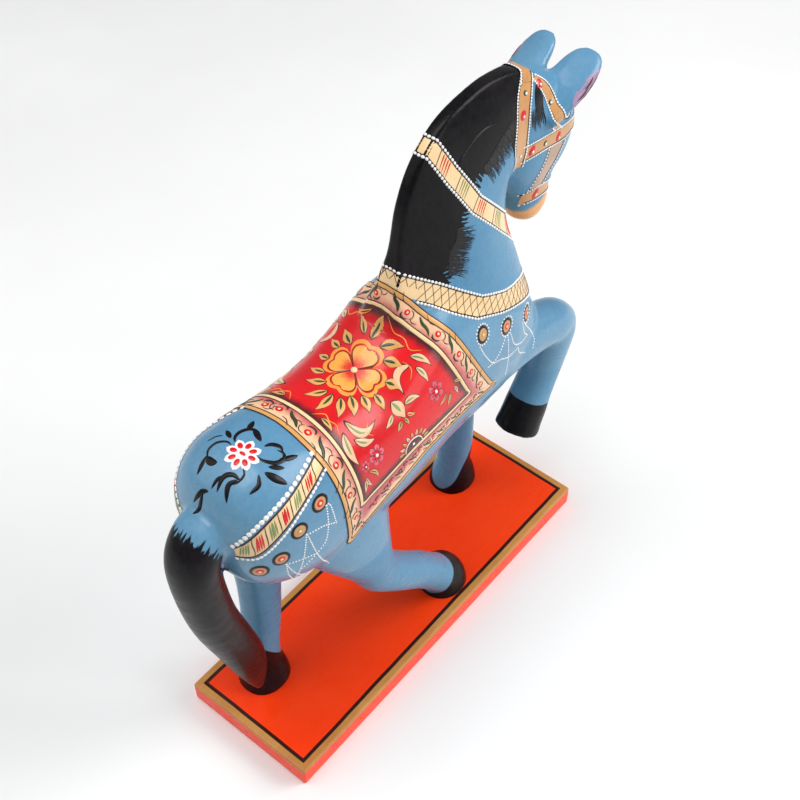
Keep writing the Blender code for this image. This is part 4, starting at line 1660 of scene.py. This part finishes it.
def medallion(chart, u, v, size, area, plain=False, beads=0):
    """A black-edged tan disc, with a red middle or a plain green one, and an eye."""
    paint(area, "black", 0.18).dot(chart, u, v, size + 0.5, 0.1, sides=16)
    paint(area + "_disc", "tan", 0.2).dot(chart, u, v, size, 0.14, sides=14)
    colour, share, rise = ("sage", 0.34, 0.1) if plain else ("red", 0.5, 0.14)
    paint(area + "_disc", colour, 0.34).dot(chart, u, v, size * share, rise, sides=12)
    paint(area + "_eye", "cream", 0.46).dot(chart, u, v, size * 0.22, 0.25)
    for place in oval(u, v, size + 1.15, beads):
        paint(area, "white", 0.14).dot(chart, *place, 0.5, 0.3, sides=7)


def evenly(points, spacing, count):
    """count + 1 points evenly spread along a curve."""
    path = curve_points(points, spacing)
    return [tuple(path[int(round(k * (len(path) - 1) / count))]) for k in range(count + 1)]


def bead_chains(chart, lines):
    """Chains of small white beads; each line is given on the patch that chart shows."""
    for line in lines:
        paint("chains", "white", 0.08).beads(chart, line, 1.5, 0.42, 0.25, 1.15)


def crupper(chart):
    """The strap from the cloth to the tail, with its beads, medallions and chains."""
    count, block = 46, 7
    top, low = (evenly(edge, 1.2, count) for edge in (STRAP_TOP, STRAP_LOW))
    inner_top = [between(a, b, 0.17) for a, b in zip(top, low)]
    inner_low = [between(a, b, 0.86) for a, b in zip(top, low)]
    paint("crupper", "cream", 0.14).field(chart, inner_top, inner_low, 6)
    for edge in (inner_top, inner_low):
        paint("crupper", "brown", 0.22).ribbon(chart, edge, 0.75, rise=0.06)
    paint("crupper", "white", 0.24).beads(chart, top, 2.5, 1.12, 0.4, 1.15)
    paint("crupper", "white", 0.24).beads(chart, low, 1.9, 0.72, 0.3, 1.4)
    for k in range(2, count - 3):
        start, end = inner_top[k], inner_low[min(k + 3, count)]
        if k % block == 2:
            line = [start, between(inner_top[k + 1], inner_low[k + 1], 0.3),
                    between(inner_top[k + 2], inner_low[k + 2], 0.7), end]
            paint("crupper", "brown", 0.24).ribbon(chart, line, 0.55, tapered, 0.08)
        elif k % block not in (1, 3):
            colour = "red" if ((k + 5) // block) % 2 else "sage"
            line = [between(start, end, share) for share in (0.12, 0.5, 0.88)]
            paint("crupper", colour, 0.22).ribbon(chart, line, 0.9, tapered, 0.06)
    for k, place in enumerate(MEDALLIONS):
        medallion(chart, *place, 3.5, "rump_medallions", plain=k == 1)
    bead_chains(chart, [CRUPPER.locate(*points) for points in CHAINS])


both_sides(crupper, CRUPPER)

# ---------------------------------------------------------------- chest

CHEST = patch_chart(SKIN, (-29, -48, 182), (-0.96, -0.22, 0.17), (0, 0, 1))
CHEST_MEDALS = CHEST.locate((-28.1, -29.8, 198.1), (-28.2, -48.2, 189.3), (-25.9, -68.0, 181.3))
CHEST_CHAINS = [
    [(-29.7, -25.9, 194.1), (-31.0, -29.0, 186.6), (-31.6, -34.6, 178.3), (-31.3, -41.0, 175.2),
     (-30.7, -48.5, 170.6), (-29.6, -57.5, 168.9)],
    [(-29.9, -46.0, 184.6), (-31.0, -40.0, 180.0), (-31.6, -34.6, 178.3), (-31.7, -30.8, 178.8)],
    [(-28.2, -48.0, 184.0), (-30.0, -47.9, 172.0), (-30.0, -47.9, 159.0)],
    [(-28.6, -50.5, 183.6), (-29.8, -53.8, 174.3), (-29.0, -61.1, 169.2), (-27.8, -67.4, 168.5)],
    [(-27.9, -62.2, 180.2), (-28.4, -64.0, 173.0), (-27.8, -67.4, 168.5)],
    [(-27.5, -64.8, 177.9), (-26.8, -74.3, 162.5), (-28.6, -72.6, 156.2)],
    [(-29.6, -57.5, 168.9), (-28.8, -60.0, 163.0), (-28.6, -66.0, 158.0)],
]


def chest_paint(chart):
    for k, place in enumerate(CHEST_MEDALS):
        medallion(chart, *place, 3.7, "chest_medallions", plain=k == 0, beads=18)
    bead_chains(chart, [CHEST.locate(*points) for points in CHEST_CHAINS])


both_sides(chest_paint, CHEST)

# ---------------------------------------------------------------- bridle

FACE = patch_chart(SKIN, (-13, -90, 262), (-0.86, -0.2, 0.46), (0, 0, 1))
# Rings round the head that carry the straps across the front of the face.
BROW_RING = ring_chart(SKIN, (0, -92, 257), (0, -0.08, 1), (0, -1, 0))
NOSE_RING = ring_chart(SKIN, (0, -92, 228.5), (0, -0.08, 1), (0, -1, 0))
POLL_RING = ring_chart(SKIN, (0, -78, 272), (0, -1, 0), (0, 0, 1))
FRONT_STRAPS = [
    ("cross_front", BROW_RING, (-11.4, -112.0, 260.0), (-11.5, -112.0, 253.6)),
    ("nose_front", NOSE_RING, (-9.1, -101.8, 230.6), (-8.4, -101.8, 224.0)),
]

# Each strap's two edges on the horse's right, as points (x, y, z).
STRAPS = {
    "brow_strap": (
        [(-5.6, -88.9, 292.3), (-8.0, -93.4, 287.9), (-10.9, -95.8, 282.1), (-15.0, -94.8, 277.5),
         (-16.2, -96.2, 270.5), (-13.3, -101.7, 262.1)],
        [(-6.6, -85.7, 292.3), (-10.1, -88.7, 285.6), (-12.5, -90.6, 278.4), (-15.0, -90.0, 273.1),
         (-14.4, -92.4, 268.5), (-13.5, -95.2, 264.4)],
    ),
    "cheek_strap": (
        [(-4.7, -79.0, 297.0), (-8.2, -72.9, 289.6), (-11.3, -69.3, 278.3), (-12.3, -67.9, 268.8),
         (-10.3, -71.0, 255.5)],
        [(-5.8, -85.4, 293.6), (-10.3, -79.8, 284.7), (-11.9, -77.5, 272.5), (-12.0, -77.3, 264.0),
         (-12.0, -76.5, 255.5)],
    ),
    "cross_strap": (
        [(-12.1, -75.5, 265.6), (-13.5, -90.4, 264.4), (-13.1, -104.2, 262.0),
         (-11.2, -112.5, 260.0)],
        [(-12.1, -75.5, 257.6), (-13.4, -88.4, 257.2), (-13.1, -104.8, 254.0),
         (-11.4, -112.5, 253.6)],
    ),
    "nose_strap": (
        [(-8.6, -84.0, 232.9), (-10.0, -93.5, 232.9), (-9.1, -102.3, 230.6)],
        [(-6.1, -84.0, 225.0), (-9.2, -93.4, 225.3), (-8.4, -102.3, 224.0)],
    ),
}
JEWELS = [
    ((-8.0, -78.2, 290.1), "green"),
    ((-10.4, -74.5, 282.0), "red"),
    ((-11.4, -73.4, 262.1), "white"),
    ((-7.4, -88.2, 289.0), "red"),
    ((-12.1, -92.2, 279.8), "green"),
    ((-13.5, -99.5, 258.6), "red"),
    ((-12.5, -80.5, 261.4), "red"),
    ((-13.4, -89.0, 260.9), "green"),
    ((-9.1, -92.0, 229.0), "red"),
]


def strap(chart, name, one, other, colour="tan"):
    """A flat strap between two edges, each with a black rim and white beads."""
    one, other = (evenly(edge, 0.5, 22) for edge in (one, other))
    paint(name, colour, 0.2).field(chart, one, other, 5)
    for edge, lean in ((one, 0.07), (other, 0.93)):
        rim = [between(a, b, lean) for a, b in zip(one, other)]
        paint(name, "black", 0.26).ribbon(chart, rim, 0.5, rise=0.05)
        paint(name, "white", 0.28).beads(chart, edge, 1.3, 0.5, 0.22, 1.25)


def poll_band():
    """The part of the cheek strap that crosses the crest."""
    edges = []
    for top, low in (
        ((0, -80.5, 299.4), (-6.0, -77.4, 295.0)),
        ((0, -88.0, 296.6), (-6.8, -84.3, 291.8)),
    ):
        (_, high), (u, v) = POLL_RING.locate(top, low)
        shoulder = (v + 2 * high) / 3
        edges.append([(-u, v), (-u * 0.5, shoulder), (0, high), (u * 0.5, shoulder), (u, v)])
    # Its own lifts: the crest is sharp here, and the strap would sink into it.
    for colour, lift in (("tan", 0.5), ("black", 0.56), ("white", 0.58)):
        paint("poll_strap", colour, lift)
    strap(POLL_RING, "poll_strap", *edges)


def jewel(chart, place, colour):
    """A painted stone: a large red or small green one with a glint, or a white dot."""
    (u, v), = FACE.locate(place)
    if colour == "white":
        paint("jewels", "white", 0.42).dot(chart, u, v, 0.8, 0.3)
        return
    size = 1.9 if colour == "red" else 1.05
    paint("jewels", colour, 0.3).dot(chart, u, v, size, 0.3, 1.2, 1.2)
    paint("jewel_spots", "white", 0.62).dot(chart, u + 0.2, v - 0.3 * size, 0.62, 0.25)


def forelock(chart):
    lock = FACE.locate((-7.3, -86.0, 290.0), (-10.5, -85.2, 283.0), (-12.4, -84.0, 275.5))
    paint("forelock", "black", 0.08).ribbon(chart, lock, 6.2, tapered, 0.08, 0.7)
    for k in range(9):
        y, end = -87.5 + 0.9 * k, 270.0 + (k % 3) * 1.4
        hair = FACE.locate((-12, y, 282.0), (-12, y + 0.3, 275.0), (-12, y + 0.2, end))
        paint("forelock", "black", 0.1).ribbon(chart, hair, 0.9, tapered, 0.06, 0.9)


def face_eye(chart):
    eye = FACE.locate((-13, -107.4, 266.4))[0]
    paint("eye_white", "white", 0.1).dot(chart, *eye, 2.3, 0.12, 1.5, -0.5, sides=14)
    paint("eye_rim", "black", 0.2).ring(chart, *eye, 2.3, 0.7, stretch=1.5, turn=-0.5)
    paint("eye_dark", "black", 0.26).dot(chart, *eye, 1.35, 0.2, sides=12)
    paint("eye_glint", "white", 0.46).dot(chart, eye[0] + 0.4, eye[1] + 0.5, 0.4, 0.15)
    brow = FACE.locate((-13, -103.0, 270.4), (-13, -107.5, 271.0), (-13, -111.5, 268.0))
    paint("eye_rim", "black", 0.1).ribbon(chart, brow, 0.9, tapered, 0.1)


def bridle(chart, turned):
    for name, (one, other) in STRAPS.items():
        strap(chart, name, FACE.locate(*one), FACE.locate(*other))
    for name, ring, high, low in FRONT_STRAPS:
        (u, top), (_, base) = ring.locate(high, low)
        edges = ([(-0.6, v), (u * 0.5, v), (u, v)] for v in (top, base))
        strap(turned(ring), name, *edges)
    for place, colour in JEWELS:
        jewel(chart, place, colour)
    # Strip down the side of the face: the straps' tan greyed and darkened as painted shade, for
    # the side of the face that lies in shade.
    strip = ([(-12.8, -106.5, 252.0), (-12.5, -101.3, 244.6), (-11.5, -96.0, 233.0)],
             [(-13.5, -93.4, 256.5), (-12.7, -90.2, 246.9), (-9.0, -86.5, 234.0)])
    strap(chart, "face_strip", *(FACE.locate(*edge) for edge in strip), "dusk")
    forelock(chart)
    face_eye(chart)


for turned in SIDES:
    bridle(turned(FACE), turned)
poll_band()

# ---------------------------------------------------------------- ears

EAR_SIDE = patch_chart(SKIN, (-19, -108, 280), (-1, 0, -0.1), (0, -0.89, 0.45))
HEAD_SIDE = 15.5  # nothing of the head lies further out than this beside the ears
# Dark hairs in the ear: root and length.
EAR_HAIRS = [(-0.8, -6, 8), (0.6, -4, 9), (1.6, -2, 7), (-1.4, 0, 7), (0.4, 3, 6)]


def ear_chart(u, v, side=1):
    """The outer side of an ear, without what lies behind it."""
    found = EAR_SIDE(u, v, side)
    return found if found and abs(found[0].x) > HEAD_SIDE else None


def ear_paint(chart):
    root, tip, half = -9.5, 13, 4.3
    rows = [(v, half * leaf((v - root) / (tip - root))) for v in np.linspace(root, tip, 24)]
    paint("ear_lining", "mauve", 0.1).field(
        chart, [(0.3 - w, v) for v, w in rows], [(0.3 + w, v) for v, w in rows], 6)
    for u, v, reach in EAR_HAIRS:
        hair = [(u, v), (u + 0.4, v + reach / 2), (u + 0.1, v + reach)]
        paint("ear_lining", "shade", 0.18).ribbon(chart, hair, 0.9, tapered, 0.08)


both_sides(ear_paint, ear_chart)

for relief, colour in RELIEFS.values():
    material, slot = PAINTS[colour]
    relief.build(material, slot)

# ---------------------------------------------------------------- board, dowels and screws

BOARD_PAINT = board_paint()
WOOD = streaked("raw_wood", "c9a47a", "a98258", (500.0, (1, 1, 0.08), 6.0),
                low=0.55, high=0.7, bump=0.2)
STEEL = streaked("screw_steel", "b9bab8", "8d8e8c", (900.0, (1, 0.1, 1), 4.0),
                 metallic=1.0, low=0.28, high=0.42, bump=0.1)
FINISHES = {"base_board": BOARD_PAINT, "screw": STEEL, "dowel": WOOD, "peg": WOOD}
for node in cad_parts:
    item = bpy.data.objects.get(node)
    finish = next((FINISHES[part] for part in FINISHES if part in node), None)
    if item and finish and not item.hide_render:
        item.data.materials.clear()
        item.data.materials.append(finish)

# ---------------------------------------------------------------- studio


STUDIO = bpy.context.scene.collection
LIGHTS_AIM = Vector((0, 0, 0.12))  # metres, as all of the studio is


def make_floor():
    shader = Shader("studio_floor")
    share = shader.spread(shader.noise(3.0), 0.3, 0.7)
    rough = shader.spread(shader.noise(40.0), 0.3, 0.7, 0.7, 0.85)
    paper = shader.mix(share, linear("f4f4f3"), linear("eeeeed"))
    shader.feed(shader.out.inputs["Base Color"], paper)
    shader.feed(shader.out.inputs["Roughness"], rough)
    mesh = bmesh.new()
    bmesh.ops.create_grid(mesh, x_segments=2, y_segments=2, size=4.0)
    data = mesh_data("studio_floor", mesh)
    data.materials.append(shader.material)
    floor = new_object("studio_floor", data, STUDIO)
    floor.location = (0, 0, -0.0002)


def add_light(name, place, size, watts):
    data = bpy.data.lights.new(name, "AREA")
    data.shape = "RECTANGLE"
    data.size, data.size_y = size
    data.energy = watts
    light = new_object(name, data, STUDIO)
    light.location = place
    light.rotation_euler = (Vector(place) - LIGHTS_AIM).to_track_quat("Z", "Y").to_euler()


def make_world(strength):
    world = bpy.data.worlds.new("soft_room")
    world.use_nodes = True
    shade = world.node_tree.nodes["Background"]
    shade.inputs["Color"].default_value = (0.95, 0.97, 1.0, 1)
    shade.inputs["Strength"].default_value = strength
    bpy.context.scene.world = world


def make_camera():
    azimuth, elevation = math.radians(219.45), math.radians(48.18)
    aim, distance = Vector((0.08093, -0.10458, 0.0127)), 0.793856
    back = Vector((
        math.sin(azimuth) * math.cos(elevation),
        -math.cos(azimuth) * math.cos(elevation),
        math.sin(elevation),
    ))
    data = bpy.data.cameras.new("camera")
    data.lens = 57.98
    data.sensor_width = 36.0
    camera = new_object("camera", data, STUDIO)
    camera.location = aim + back * distance
    camera.rotation_euler = back.to_track_quat("Z", "Y").to_euler()
    bpy.context.scene.camera = camera


make_floor()
make_world(0.27)
add_light("key", (-1.0, -1.0, 1.15), (1.0, 1.0), 20)
add_light("fill", (0.9, 0.8, 1.0), (1.2, 1.2), 4)
add_light("top", (0.1, 0.3, 1.6), (1.0, 1.0), 15)
add_light("side", (-1.25, -0.2, 0.42), (0.6, 0.45), 2.2)
make_camera()
bpy.context.scene.view_settings.view_transform = "Standard"
